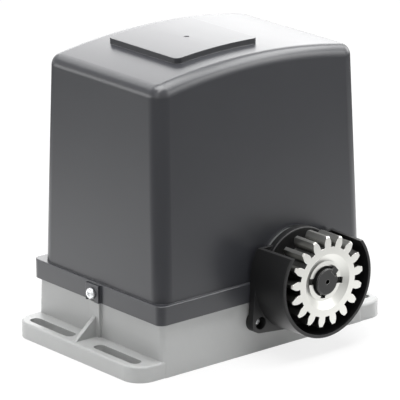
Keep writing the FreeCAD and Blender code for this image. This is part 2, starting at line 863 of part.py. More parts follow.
def make_pinion():
    """Spur pinion with involute flanks, a coned recess, a rear hub and a keyed bore."""
    pitch = d.gear_module * d.pinion_teeth / 2
    tip = pitch + d.gear_module
    root_radius = pitch - d.gear_module * 1.25
    base_circle = pitch * cosine(d.pressure_angle)
    body = doc.addObject("PartDesign::Body", "pinion_body")

    disc = sketch_in(body, "pinion_disc", "XZ_Plane", d.pinion_reach - d.pinion_width)
    disc.addGeometry(Part.Circle(V(0, 0, 0), V(0, 0, 1), tip.value), False)
    disc.addConstraint(Sketcher.Constraint("Coincident", 0, 3, -1, 1))
    tie(disc, "Radius", "tip_radius", tip, 0)
    blank = body.newObject("PartDesign::Pad", "pinion_blank")
    blank.Profile = disc
    bind(blank, "Length", d.pinion_width)

    def gap_angle(radius):
        """Half the angle of a tooth gap at a radius, in degrees."""
        return (90 / d.pinion_teeth + involute(base_circle / radius)
                - involute(cosine(d.pressure_angle)))

    beyond = tip + d.gear_module / 2
    base_angle = 90 / d.pinion_teeth - involute(cosine(d.pressure_angle))
    flank = [(root_radius, base_angle), (base_circle, base_angle),
             (pitch, 90 / d.pinion_teeth), (tip, gap_angle(tip)), (beyond, gap_angle(tip))]
    upper = [(radius * cosine(angle), radius * sine(angle)) for radius, angle in flank]
    lower = [(x, -y) for x, y in reversed(upper)]
    gap = sketch_in(body, "tooth_gap", "XZ_Plane", d.pinion_reach, d.pinion_turn)
    outline(gap, lower + upper)
    space = body.newObject("PartDesign::Pocket", "tooth_space")
    space.Profile = gap
    space.Type = 1
    teeth = body.newObject("PartDesign::PolarPattern", "teeth")
    teeth.Originals = [space]
    teeth.Axis = (gap, ["N_Axis"])
    teeth.Angle = 360
    bind(teeth, "Occurrences", d.pinion_teeth)
    body.Tip = teeth
    move(body, d.gear_x, 0, d.gear_height)
    chamfer = d.tooth_chamfer
    turned_blank = turned("turned_blank", "Y", [
        (0, pinion_front), (tip - chamfer, pinion_front), (tip, pinion_front + chamfer),
        (tip, pinion_back - chamfer), (tip - chamfer, pinion_back), (0, pinion_back)], gear_at)

    hub_back = seal_front_gap()
    hub = ring("pinion_hub", "Y", d.seat_radius, d.pinion_hub_radius, pinion_back, hub_back, gear_at)
    bore = cylinder(
        "pinion_bore", "Y", d.seat_radius + d.fit_gap, pinion_front - 1, hub_back + 1, gear_at)
    bore_edge = d.seat_radius + d.shaft_chamfer * 2
    recess = turned("pinion_recess", "Y", [
        (0, pinion_front - 1), (d.recess_radius + 1, pinion_front - 1),
        (d.recess_radius, pinion_front), (d.recess_floor_radius, pinion_face),
        (bore_edge, pinion_face), (d.seat_radius, pinion_face + bore_edge - d.seat_radius),
        (0, pinion_face + bore_edge - d.seat_radius)], gear_at)
    slot = key_block("pinion_key_slot", d.fit_gap, pinion_front - 1, hub_back + 1)
    dogs = hub_notch("dog_slot", -d.dog_reach, d.dog_reach, d.dog_width, d.dog_angle)
    notch = hub_notch("low_notch", d.seat_radius, d.notch_reach, d.notch_width, d.dog_angle - 90)
    toothed = common("chamfered_teeth", body, turned_blank)
    piece("pinion", cut(
        "pinion_cut", fuse("pinion_solid", toothed, hub), bore, recess, slot, dogs, notch))
    key_front = pinion_front + d.shaft_chamfer
    piece("pinion_key", key_block("pinion_key", 0, key_front, key_front + d.key_length))


def hub_notch(name, inner, outer, width, angle):
    """Straight notch in the hub's face, between two distances along a line through its centre."""
    body = doc.addObject("PartDesign::Body", name)
    sketch = sketch_in(body, name + "_section", "XZ_Plane", -pinion_face - d.dog_depth, angle)
    half = width / 2
    outline(sketch, [(inner, -half), (outer, -half), (outer, half), (inner, half)])
    pad = body.newObject("PartDesign::Pad", name + "_pad")
    pad.Profile = sketch
    bind(pad, "Length", d.dog_depth + d.recess_depth)
    return move(body, d.gear_x, 0, d.gear_height)


def seal_front_gap():
    """Back face of the pinion's hub, just clear of the gearbox nose."""
    return nose_front - d.part_gap * 4


def key_block(name, gap, low, high):
    """Flat key between shaft and bore, half in each, turned to the key's angle."""
    body = doc.addObject("PartDesign::Body", name)
    sketch = sketch_in(body, name + "_section", "XZ_Plane", -high, d.key_angle)
    half = d.key_width / 2 + gap
    outline(sketch, [
        (d.seat_radius - half, -half), (d.seat_radius + half, -half),
        (d.seat_radius + half, half), (d.seat_radius - half, half)])
    pad = body.newObject("PartDesign::Pad", name + "_pad")
    pad.Profile = sketch
    bind(pad, "Length", as_size(high) - low)
    return move(body, d.gear_x, 0, d.gear_height)


def make_shaft_line():
    """Output shaft with its worm wheel, bearings, seal and clip."""
    wheel_plane = wheel_front
    rear_seat = as_size(0)
    end = d.rear_bearing_width - d.part_gap
    clip_low, clip_width = rear_seat - 3.4, as_size(1.2)
    centre_hole = 2.0
    shaft = turned("shaft_turned", "Y", [
        (centre_hole, pinion_front), (d.seat_radius - d.shaft_chamfer, pinion_front),
        (d.seat_radius, pinion_front + d.shaft_chamfer), (d.seat_radius, pinion_back),
        (d.seat_radius, seal_front_gap()), (d.journal_radius, seal_front_gap()),
        (d.journal_radius, chamber_front + d.part_gap), (d.collar_radius, chamber_front + d.part_gap),
        (d.collar_radius, wheel_plane), (d.journal_radius, wheel_plane),
        (d.journal_radius, clip_low), (d.journal_radius - 1, clip_low),
        (d.journal_radius - 1, clip_low + clip_width), (d.journal_radius, clip_low + clip_width),
        (d.journal_radius, rear_seat), (d.rear_journal_radius, rear_seat),
        (d.rear_journal_radius, end), (0, end), (0, pinion_front + 6),
        (centre_hole, pinion_front + 4)], gear_at)
    key_front = pinion_front + d.shaft_chamfer
    slot = key_block("shaft_key_slot", d.fit_gap, pinion_front - 1, key_front + d.key_length)
    piece("output_shaft", cut("shaft", shaft, slot))

    rim = d.centre_distance - worm_tip - d.part_gap
    hub = d.journal_radius + d.wheel_rim
    hub_back = clip_low - 0.2
    web = d.wheel_width / 4
    inside = rim - d.wheel_rim
    piece("worm_wheel", turned("wheel", "Y", [
        (d.journal_radius + d.fit_gap, wheel_plane), (hub, wheel_plane),
        (hub, wheel_front + web), (inside, wheel_front + web), (inside, wheel_front),
        (rim, wheel_front), (rim, wheel_back), (inside, wheel_back), (inside, wheel_back - web),
        (hub, wheel_back - web), (hub, hub_back), (d.journal_radius + d.fit_gap, hub_back)],
        gear_at))
    piece("wheel_clip", ring(
        "clip", "Y", d.journal_radius - 1 + d.fit_gap, d.journal_radius + 2.5, clip_low + d.fit_gap,
        clip_low + clip_width - d.fit_gap, gear_at))
    piece("front_shaft_bearing", bearing(
        "front_bearing", "Y", d.journal_radius, d.front_bearing_radius, seal_back, bearing_back,
        gear_at))
    piece("rear_shaft_bearing", bearing(
        "rear_bearing", "Y", d.rear_journal_radius, d.rear_bearing_radius, rear_seat,
        rear_seat + d.rear_bearing_width, gear_at))
    lip = 1.5
    piece("shaft_seal", turned("lip_seal", "Y", [
        (d.journal_radius + d.fit_gap, nose_front + lip * 2),
        (d.journal_radius + lip, nose_front + lip), (d.front_bearing_radius - lip, nose_front + lip),
        (d.front_bearing_radius - lip, nose_front), (d.front_bearing_radius, nose_front),
        (d.front_bearing_radius, seal_back), (d.journal_radius + d.fit_gap, seal_back)], gear_at))


def bearing(name, axis, bore, outer, low, high, at):
    """Ball bearing drawn as one piece, with the groove between its rings on both faces."""
    bore = bore + d.fit_gap
    step = (outer - bore) / 3.6
    deep = (high - low) / 10
    return turned(name, axis, [
        (bore, low), (bore + step, low), (bore + step, low + deep), (outer - step, low + deep),
        (outer - step, low), (outer, low), (outer, high), (outer - step, high),
        (outer - step, high - deep), (bore + step, high - deep), (bore + step, high),
        (bore, high)], at)


def lid_screw_places():
    circle = case_radius - d.lid_screw_inset
    angles = (0, 45, 90, 135, -135, -90, -45)
    return [
        (d.gear_x + circle * math.cos(math.radians(a)), d.gear_height + circle * math.sin(math.radians(a)))
        for a in angles
    ]


def make_gearbox():
    """Gearbox case with its nose, feet and deck, its lid and their screws."""
    nose = turned("nose", "Y", [
        (0, nose_front), (nose_radius - d.nose_chamfer, nose_front),
        (nose_radius, nose_front + d.nose_chamfer), (nose_radius, -d.case_front + 1),
        (0, -d.case_front + 1)], gear_at)
    drum = cylinder("drum", "Y", case_radius, -d.case_front, 0, gear_at)
    tube = cylinder("worm_tube", "Z", d.tube_radius, foot_low, deck_high, worm_at)
    foot_length, foot_width = d.foot_right - d.foot_left, d.foot_back - d.foot_front
    foot = rounded_block(
        "case_foot", foot_length, foot_width, 6, foot_low, foot_high,
        (d.foot_right + d.foot_left) / 2, (d.foot_back + d.foot_front) / 2)
    deck = rounded_block(
        "case_deck", d.deck_right - d.deck_left, d.deck_back - d.deck_front, 8, deck_low, deck_high,
        (d.deck_right + d.deck_left) / 2, (d.deck_back + d.deck_front) / 2)
    webs = [
        box("web_%d" % i, (x, x + d.case_wall), (-d.case_front, -d.chamber_gap),
            (d.gear_height + case_radius / 2, deck_high - 1))
        for i, x in enumerate((d.gear_x - 24, d.gear_x + 24))
    ]
    chamber = cylinder("chamber", "Y", chamber_radius, chamber_front, 1, gear_at)
    tools = [
        chamber,
        cylinder("shaft_way", "Y", d.collar_radius + 0.5, nose_front - 1, chamber_front + 1, gear_at),
        cylinder("bearing_pocket", "Y", d.front_bearing_radius + d.fit_gap, nose_front - 1,
                 bearing_back, gear_at),
        cylinder("worm_way", "Z", d.worm_bearing_radius + d.fit_gap, d.worm_bearing_low,
                 deck_high + 1, worm_at),
        cylinder("worm_relief", "Z", d.worm_bearing_radius * 0.6, d.worm_bearing_low - 5,
                 d.worm_bearing_low + 1, worm_at),
    ]
    for i, (x, y) in enumerate(foot_bolt_places()):
        tools.append(cylinder(
            "case_foot_hole_%d" % i, "Z", d.bolt_radius + d.fit_gap, foot_low - 1, foot_high + 1,
            (x, y)))
    for i, at in enumerate(lid_screw_places()):
        tools.append(cylinder(
            "case_lid_hole_%d" % i, "Y", d.screw_radius + d.fit_gap,
            -d.lid_screw_depth - d.part_gap, 1, at))
    for i, at in enumerate(motor_bolt_places()):
        tools.append(cylinder(
            "case_motor_hole_%d" % i, "Z", d.screw_radius + d.fit_gap, deck_low + 1, deck_high + 1,
            at))
    solid = fuse("case_solid", nose, drum, tube, foot, deck, *webs)
    piece("gearbox_case", cut("case", solid, *tools))

    pocket_depth = d.rear_bearing_width + d.fit_gap
    boss = d.rear_bearing_radius + d.lid_boss_wall
    lid = turned("lid_turned", "Y", [
        (0, pocket_depth), (d.rear_bearing_radius + d.fit_gap, pocket_depth),
        (d.rear_bearing_radius + d.fit_gap, 0), (case_radius, 0), (case_radius, d.lid_thick),
        (boss, d.lid_thick), (boss, pocket_depth + 4), (0, pocket_depth + 4)], gear_at)
    lid_holes = [
        cylinder("lid_hole_%d" % i, "Y", d.screw_radius + d.fit_gap, -1, d.lid_thick + 1, at)
        for i, at in enumerate(lid_screw_places())
    ]
    piece("gearbox_lid", cut("lid", lid, *lid_holes))
    piece("lid_screws", group("lid_screw_set", [
        screw("lid_screw_%d" % i, "Y", at, d.lid_thick, -d.lid_screw_depth, d.screw_radius,
              d.screw_radius * 1.8, d.screw_radius * 1.4)
        for i, at in enumerate(lid_screw_places())]))
    piece("gearbox_bolts", group("foot_bolt_set", [
        screw("foot_bolt_%d" % i, "Z", at, foot_high, 4, d.bolt_radius, d.bolt_radius * 1.7,
              d.bolt_radius * 1.4)
        for i, at in enumerate(foot_bolt_places())]))


def motor_bolt_places():
    offset = d.motor_bolt_offset
    return [(worm_x + sx * offset, d.worm_y + sy * offset) for sx in (-1, 1) for sy in (-1, 1)]


def motor_block(name, low, high):
    return rounded_block(
        name, d.motor_side, d.motor_side, d.motor_corner, low, high, worm_x, d.worm_y)


def motor_holes(name, low, high):
    return [
        cylinder("%s_%d" % (name, i), "Z", d.screw_radius + d.fit_gap, low, high, at)
        for i, at in enumerate(motor_bolt_places())
    ]


def make_motor():
    """Worm shaft with its rotor and fan, the stator and the two shields."""
    r = d.motor_shaft_radius
    worm_low, worm_high = d.gear_height - d.worm_length / 2, d.gear_height + d.worm_length / 2
    upper_bearing = deck_low - 16
    shaft_high = shield_high + d.fan_height + 4
    piece("worm_shaft", turned("worm", "Z", [
        (0, d.worm_bearing_low - 4), (r, d.worm_bearing_low - 4), (r, worm_low - 2),
        (worm_tip - 2, worm_low - 2), (worm_tip, worm_low), (worm_tip, worm_high),
        (worm_tip - 2, worm_high + 2), (r, worm_high + 2), (r, shaft_high), (0, shaft_high)],
        worm_at))
    for label, low in (("worm_lower_bearing", d.worm_bearing_low), ("worm_upper_bearing", upper_bearing)):
        piece(label, bearing(
            label, "Z", r, d.worm_bearing_radius, low, low + d.worm_bearing_width, worm_at))

    cavity = d.winding_outer + 1
    lower_low = deck_high + d.shield_wall
    lower = cut(
        "lower_shield", motor_block("lower_shield_block", deck_high, stator_low),
        cylinder("lower_cavity", "Z", cavity, lower_low, stator_low + 1, worm_at),
        cylinder("lower_way", "Z", d.worm_bearing_radius, deck_high - 1, lower_low + 1, worm_at),
        *motor_holes("lower_shield_hole", deck_high - 1, stator_low + 1))
    piece("motor_lower_shield", lower)

    core = cut(
        "stator", motor_block("stator_block", stator_low, stator_high),
        cylinder("stator_bore", "Z", d.rotor_radius + d.air_gap, stator_low - 1, stator_high + 1,
                 worm_at),
        *motor_holes("stator_hole", stator_low - 1, stator_high + 1))
    piece("stator_core", core)
    half = d.winding_height / 3
    rings = []
    for label, start, way in (("lower", stator_low, -1), ("upper", stator_high, 1)):
        near, far = start, start + d.winding_height * way
        rings.append(turned(label + "_winding", "Z", [
            (d.winding_inner, near), (d.winding_outer, near), (d.winding_outer, far - half * way),
            (d.winding_outer - half, far), (d.winding_inner + half, far),
            (d.winding_inner, far - half * way)], worm_at))
    piece("stator_windings", group("winding_pair", rings))

    bearing_low = shield_high - d.motor_bearing_width
    hub = d.motor_bearing_radius + 3.5
    cup = turned("upper_cavity", "Z", [
        (hub, stator_high - 1), (cavity, stator_high - 1), (cavity, shield_high - d.shield_wall),
        (hub, shield_high - d.shield_wall)], worm_at)
    upper = cut(
        "upper_shield", motor_block("upper_shield_block", stator_high, shield_high), cup,
        cylinder("upper_seat", "Z", d.motor_bearing_radius + d.fit_gap, bearing_low,
                 shield_high + 1, worm_at),
        cylinder("upper_way", "Z", d.motor_bearing_radius * 0.7, stator_high - 1, bearing_low + 1,
                 worm_at),
        *motor_holes("upper_shield_hole", stator_high - 1, shield_high + 1))
    piece("motor_upper_shield", upper)
    piece("motor_bearing", bearing(
        "motor_bearing", "Z", r, d.motor_bearing_radius, bearing_low, shield_high, worm_at))
    piece("motor_bolts", group("motor_bolt_set", [
        screw("motor_bolt_%d" % i, "Z", at, shield_high, deck_low + 2, d.screw_radius,
              d.screw_radius * 1.9, d.screw_radius * 1.6)
        for i, at in enumerate(motor_bolt_places())]))

    core_gap = d.fit_gap
    end_ring = 3.0
    piece("rotor_core", turned("rotor", "Z", [
        (r + core_gap, stator_low), (d.rotor_radius - 8, stator_low),
        (d.rotor_radius - 8, stator_low - end_ring), (d.rotor_radius - 1, stator_low - end_ring),
        (d.rotor_radius - 1, stator_low), (d.rotor_radius, stator_low),
        (d.rotor_radius, stator_high), (r + core_gap, stator_high)], worm_at))
    fan_low = shield_high + 4
    disc = ring("fan_disc", "Z", r + d.fit_gap, d.fan_radius, fan_low, fan_low + 2, worm_at)
    sleeve = ring("fan_sleeve", "Z", r + d.fit_gap, r + 4, fan_low, fan_low + d.fan_height, worm_at)
    blades = []
    for i in range(SIZES["fan_blades"]):
        turn = 360 * i / d.fan_blades
        blade = doc.addObject("Part::Box", "fan_blade_%d" % i)
        bind(blade, "Length", d.fan_radius - r - 3)
        bind(blade, "Width", 1.6)
        bind(blade, "Height", d.fan_height - 1)
        blade.Placement.Rotation = FreeCAD.Rotation(V(0, 0, 1), turn.value)
        move(blade, worm_x + (r + 3) * cosine(turn), d.worm_y + (r + 3) * sine(turn), fan_low + 1)
        blades.append(blade)
    piece("fan", fuse("fan_solid", disc, sleeve, *blades))


def make_electrics():
    """Bracket with the control board and its parts, and what stands on the gearbox deck."""
    half = d.bracket_width / 2
    back = d.bracket_y + d.sheet_thick
    foot_y = d.bracket_y + d.bracket_foot
    low, high = d.base_floor, d.bracket_height
    angle = prism("bracket_angle", "YZ_Plane", [
        (d.bracket_y, low), (foot_y, low), (foot_y, low + d.sheet_thick),
        (back, low + d.sheet_thick), (back, high), (d.bracket_y, high)], -half, d.bracket_width)
    foot_screws = [(x, d.bracket_y + d.bracket_foot * 0.6) for x in bracket_screw_places()]
    tools = [
        cylinder("bracket_foot_hole_%d" % i, "Z", d.screw_radius + d.fit_gap, low - 1,
                 low + d.sheet_thick + 1, at)
        for i, at in enumerate(foot_screws)
    ]
    board_high = d.board_low + d.board_height
    inset = d.board_hole_inset
    corners = [
        (x, z)
        for x in (inset - d.board_width / 2, d.board_width / 2 - inset)
        for z in (d.board_low + inset, board_high - inset)
    ]
    for i, at in enumerate(corners):
        tools.append(cylinder(
            "bracket_board_hole_%d" % i, "Y", d.screw_radius * 0.75 + d.fit_gap, d.bracket_y - 1,
            back + 1, at))
    tools.append(box(
        "cable_window", (-half * 0.55, half * 0.55), (d.bracket_y - 1, back + 1),
        (d.board_low * 0.55, d.board_low * 0.85)))
    piece("board_bracket", cut("bracket", angle, *tools))
    piece("bracket_screws", group("bracket_screw_pair", [
        screw("bracket_screw_%d" % i, "Z", at, low + d.sheet_thick, 2, d.screw_radius,
              d.screw_radius * 1.8, d.screw_radius * 1.4)
        for i, at in enumerate(foot_screws)]))

    board_y = back + d.board_gap
    face = board_y + d.board_thick
    board = box("board_blank", (-d.board_width / 2, d.board_width / 2), (board_y, face),
                (d.board_low, board_high))
    piece("control_board", cut("board", board, *[
        cylinder("board_hole_%d" % i, "Y", d.screw_radius * 0.75 + d.fit_gap, board_y - 1, face + 1, at)
        for i, at in enumerate(corners)]))
    small = d.screw_radius * 0.75
    piece("board_spacers", group("spacer_set", [
        ring("spacer_%d" % i, "Y", small + d.fit_gap, small * 2, back, board_y, at)
        for i, at in enumerate(corners)]))
    piece("board_screws", group("board_screw_set", [
        screw("board_screw_%d" % i, "Y", at, face, d.bracket_y, small, small * 1.9, small * 1.4)
        for i, at in enumerate(corners)]))

    relay_z = board_high - 30
    relay_step = d.relay_size + 3
    piece("relays", group("relay_set", [
        box("relay_%d" % i, (14 - half + relay_step * i, 14 - half + relay_step * i + d.relay_size),
            (face, face + d.relay_size * 0.85), (relay_z, relay_z + d.relay_size))
        for i in range(SIZES["relay_count"])]))
    strips = []
    strip_length = d.terminal_pitch * d.terminal_ways
    for side, name in ((-1, "left"), (1, "right")):
        start = side * (strip_length / 2 + 2) - strip_length / 2
        strip = box(name + "_strip", (start, start + strip_length), (face, face + 14),
                    (d.board_low + 1, d.board_low + 13))
        holes = [
            cylinder("%s_way_%d" % (name, i), "Z", d.terminal_pitch * 0.3, d.board_low,
                     d.board_low + 7, (start + d.terminal_pitch * (i + 0.5), face + 7))
            for i in range(SIZES["terminal_ways"])
        ]
        strips.append(cut(name + "_terminal", strip, *holes))
    piece("terminal_blocks", group("terminal_pair", strips))
    fuse_z = d.board_low + 34
    fuse_left, fuse_right = d.fuse_x - d.fuse_length / 2, d.fuse_x + d.fuse_length / 2
    body = cylinder("fuse_body", "X", 3.2, fuse_left, fuse_right, (face + 6, fuse_z))
    clips = [
        box("fuse_clip_%d" % i, (x, x + 5), (face, face + 10), (fuse_z - 4.5, fuse_z + 4.5))
        for i, x in enumerate((fuse_left - 1, fuse_right - 4))
    ]
    piece("fuse_holder", fuse("fuse", body, *clips))
    chip = box("chip_body", (-14, 4), (face, face + 2.2), (fuse_z, fuse_z + 14))
    piece("processor", chip)
    piece("board_capacitors", group("board_capacitor_set", [
        cylinder("board_capacitor_%d" % i, "Y", 6, face, face + 16, (x, relay_z + 8))
        for i, x in enumerate((22, 38))]))

    length, height, stack = d.transformer_length, d.transformer_height, d.transformer_stack
    x, y = d.transformer_x, d.transformer_y
    leg = length / 3
    window = (length - leg) / 4
    yoke = height / 6
    inner_low, inner_high = deck_high + yoke, deck_high + height - yoke
    core = box("core_block", (x - length / 2, x + length / 2), (y - stack / 2, y + stack / 2),
               (deck_high, deck_high + height))
    windows = [
        box("core_window_%d" % i, (edge, edge + window + d.fit_gap), (y - stack, y + stack),
            (inner_low, inner_high))
        for i, edge in enumerate((x - leg / 2 - window - d.fit_gap, x + leg / 2))
    ]
    piece("transformer_core", cut("transformer", core, *windows))
    reach = leg / 2 + window - d.fit_gap
    gap = d.fit_gap
    coil = rounded_block(
        "coil_block", reach * 2, stack + window * 2, 4, inner_low + gap, inner_high - gap, x, y)
    hole = box("coil_hole", (x - leg / 2 - gap, x + leg / 2 + gap),
               (y - stack / 2 - gap, y + stack / 2 + gap), (deck_high, deck_high + height))
    piece("transformer_coil", cut("coil", coil, hole))

    can_at = (d.capacitor_x, d.capacitor_y)
    can_high = deck_high + d.capacitor_height
    can = d.capacitor_radius
    piece("run_capacitor", turned("can", "Z", [
        (0, deck_high), (can, deck_high), (can, can_high - 2), (can - 2, can_high),
        (5, can_high), (5, can_high + 4), (0, can_high + 4)], can_at))
    piece("capacitor_clip", ring(
        "clip_band", "Z", can + d.fit_gap, can + 1.5, deck_high + 30, deck_high + 38, can_at))
    half_sensor = d.sensor_length / 2
    piece("limit_sensor", box(
        "sensor", (d.sensor_x - half_sensor, d.sensor_x + half_sensor),
        (d.deck_front, d.deck_front + 9), (deck_high, deck_high + 22)))


def make_release():
    """Barrel in the back wall and the lever that turns in it."""
    hole = d.release_shaft_radius + d.fit_gap * 2
    face = wall_face(d.release_height - 12)
    flange = d.barrel_radius + 3
    inner = face - d.base_wall - 9
    piece("release_barrel", turned("barrel", "Y", [
        (hole, inner), (d.barrel_radius, inner), (d.barrel_radius, face), (flange, face),
        (flange, face + 2), (hole, face + 2)], release_at))
    arm_low = face + 2 + d.part_gap + 2
    arm_high = arm_low + d.lever_thick
    shaft = turned("lever_shaft", "Y", [
        (0, inner + 1), (d.release_shaft_radius, inner + 1), (d.release_shaft_radius, arm_low - 2),
        (8, arm_low), (8, arm_high + 1), (0, arm_high + 1)], release_at)
    arm = box("lever_arm", (d.release_x, d.release_x + d.lever_length),
              (arm_low, arm_high), (d.release_height - 5, d.release_height + 5))
    tip = cylinder("lever_tip", "Y", 5, arm_low, arm_high,
                   (d.release_x + d.lever_length, d.release_height))
    piece("release_lever", fuse("lever", shaft, arm, tip))


make_base()
make_hood()
make_seal()
make_fixings()
make_guard()
make_pinion()
make_shaft_line()
make_gearbox()
make_motor()
make_electrics()
make_release()
doc.recompute()

for obj in doc.Objects:
    if "Invalid" in obj.State or "Error" in obj.State:
        raise RuntimeError("failed: %s %s" % (obj.Name, obj.State))
os.makedirs("parts", exist_ok=True)
for obj in pieces:
    shape = obj.Shape
    if shape.isNull() or not shape.isValid() or not shape.Solids:
        raise RuntimeError("bad shape: " + obj.Label)
    shape.exportStep("parts/%s.step" % obj.Label)
    print("%s: %d solids, %.0f mm3" % (obj.Label, len(shape.Solids), shape.Volume))
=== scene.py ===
"""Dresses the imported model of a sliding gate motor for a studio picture.

The frame brings the solids. This script gives each of them its real finish, puts the fine
pieces on them and sets up a plain studio seen from the photograph's place.
"""

from __future__ import annotations

import json
import logging
import math
from dataclasses import dataclass, replace
from enum import Enum
from typing import Any, Iterable, Sequence

import bmesh
import bpy
from bmesh.types import BMesh
from bpy.types import ID, Material, Mesh, Node, NodeSocket, NodeTree, Object, World
from mathutils import Matrix, Vector

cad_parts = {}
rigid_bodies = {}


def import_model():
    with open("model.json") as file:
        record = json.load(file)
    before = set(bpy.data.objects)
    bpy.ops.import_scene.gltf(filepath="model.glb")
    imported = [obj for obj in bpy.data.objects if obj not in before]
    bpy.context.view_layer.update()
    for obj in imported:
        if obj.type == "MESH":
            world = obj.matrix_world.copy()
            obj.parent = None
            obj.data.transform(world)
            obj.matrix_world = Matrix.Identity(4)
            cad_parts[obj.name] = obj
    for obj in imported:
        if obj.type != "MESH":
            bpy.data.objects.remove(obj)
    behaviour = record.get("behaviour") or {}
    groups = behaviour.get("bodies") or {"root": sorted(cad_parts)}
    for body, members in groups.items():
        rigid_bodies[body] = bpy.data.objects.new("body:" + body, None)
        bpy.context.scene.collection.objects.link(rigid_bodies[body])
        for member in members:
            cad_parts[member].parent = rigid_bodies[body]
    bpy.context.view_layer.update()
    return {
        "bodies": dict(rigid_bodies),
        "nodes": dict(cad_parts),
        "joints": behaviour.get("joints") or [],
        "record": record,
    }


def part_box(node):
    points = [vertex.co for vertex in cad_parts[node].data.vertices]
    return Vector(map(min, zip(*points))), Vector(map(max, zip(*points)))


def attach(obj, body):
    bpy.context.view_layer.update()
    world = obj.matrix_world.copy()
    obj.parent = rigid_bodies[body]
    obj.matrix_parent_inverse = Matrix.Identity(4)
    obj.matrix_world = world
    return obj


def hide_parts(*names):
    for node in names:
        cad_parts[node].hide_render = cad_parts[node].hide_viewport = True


LOG = logging.getLogger("gate_motor")
MM = 0.001
SHARP = math.radians(35)
QUARTER = math.pi / 2
# Points closer than this are one, in a shape of this script and in the frame's triangles.
WELD_M = 1e-7
FRAME_WELD_M = 1e-6
# Height of the marks, and how far apart the bands of a wave texture lie at scale 1.
MARK_M = 0.1 * MM
WAVE_M = 0.314
# The colour of the painted shade in gaps, how open a gap is where that shade is full and where it
# ends, and how level an edge is where its painted highlight and wear start and are strongest.
GAP_SHADE = "#1C1C1B"
SHADED_TO_OPEN = (0.25, 0.85)
LEVEL_TO_WEAR_AND_SHEEN = (0.98, 0.80)
MOST_WEAR_AND_SHEEN = 0.8

Two = tuple[float, float]
Three = tuple[float, float, float]
# The seat of a piece and the direction it faces, in metres.
Place = tuple[Vector, Vector]


class Axis(Enum):
    """Directions that pieces point in."""

    RIGHT = (1.0, 0.0, 0.0)
    FRONT = (0.0, -1.0, 0.0)
    BACK = (0.0, 1.0, 0.0)
    UP = (0.0, 0.0, 1.0)

    @property
    def vector(self) -> Vector:
        """The direction as a vector."""
        return Vector(self.value)


class Pattern(Enum):
    """Ways in which a surface was made, each with marks of its own."""

    MOULDED = "even grain from a mould or a sprayed coat"
    TURNED = "rings round an axis from a lathe"
    STACKED = "thin sheets stacked upwards"
    SPANGLED = "zinc crystals"


def linear(hex_colour: str) -> tuple[float, float, float, float]:
    """Turns an sRGB hex colour into Blender's linear one.

    Args:
        hex_colour: The colour as "#RRGGBB".

    Returns:
        Red, green, blue and a full alpha.
    """
    channels = [int(hex_colour[i:i + 2], 16) / 255 for i in (1, 3, 5)]
    red, green, blue = (
        c / 12.92 if c <= 0.04045 else ((c + 0.055) / 1.055) ** 2.4 for c in channels
    )
    return red, green, blue, 1.0


def add_node(
    tree: NodeTree,
    kind: str,
    values: dict[Any, Any] | None = None,
    links: dict[Any, NodeSocket] | None = None,
    **settings: Any,
) -> Node:
    """Adds a node with its settings, its input values and the sockets that feed it.

    Args:
        tree: The tree that gets the node.
        kind: The node's type name.
        values: Input values by socket name or number.
        links: Feeding sockets by socket name or number.
        **settings: Attributes of the node.

    Returns:
        The new node.
    """
    node = tree.nodes.new(kind)
    for name, value in settings.items():
        setattr(node, name, value)
    for socket, value in (values or {}).items():
        node.inputs[socket].default_value = value
    for socket, source in (links or {}).items():
        tree.links.new(source, node.inputs[socket])
    return node


def outlet(
    tree: NodeTree, kind: str, output: str | int, *given: Any, **settings: Any
) -> NodeSocket:
    """Adds a node of which one output is used.

    Args:
        tree: The tree that gets the node.
        kind: The node's type name.
        output: Name or number of the output.
        *given: Its values and links, as add_node takes them.
        **settings: Attributes of the node.

    Returns:
        The output's socket.
    """
    return add_node(tree, kind, *given, **settings).outputs[output]


def ramp(
    tree: NodeTree, value: NodeSocket, source: Two, target: Two, shape: str = "LINEAR"
) -> NodeSocket:
    """Adds a node that carries a value from one range over to another and stops at its ends.

    Args:
        tree: The tree that gets the node.
        value: The socket with the value.
        source: The value's range.
        target: What the ends of that range become.
        shape: The curve between them.

    Returns:
        The socket with the result.
    """
    return outlet(
        tree, "ShaderNodeMapRange", "Result",
        {"From Min": source[0], "From Max": source[1], "To Min": target[0],
         "To Max": target[1]},
        {"Value": value}, interpolation_type=shape)


def length_of(tree: NodeTree, vector: NodeSocket) -> NodeSocket:
    """Adds the node that measures a vector."""
    return outlet(tree, "ShaderNodeVectorMath", "Value", None, {0: vector}, operation="LENGTH")


def empty_tree(owner: Material | World) -> NodeTree:
    """Turns on the nodes of a material or world and clears the ones that come with it."""
    owner.use_nodes = True
    owner.node_tree.nodes.clear()
    return owner.node_tree


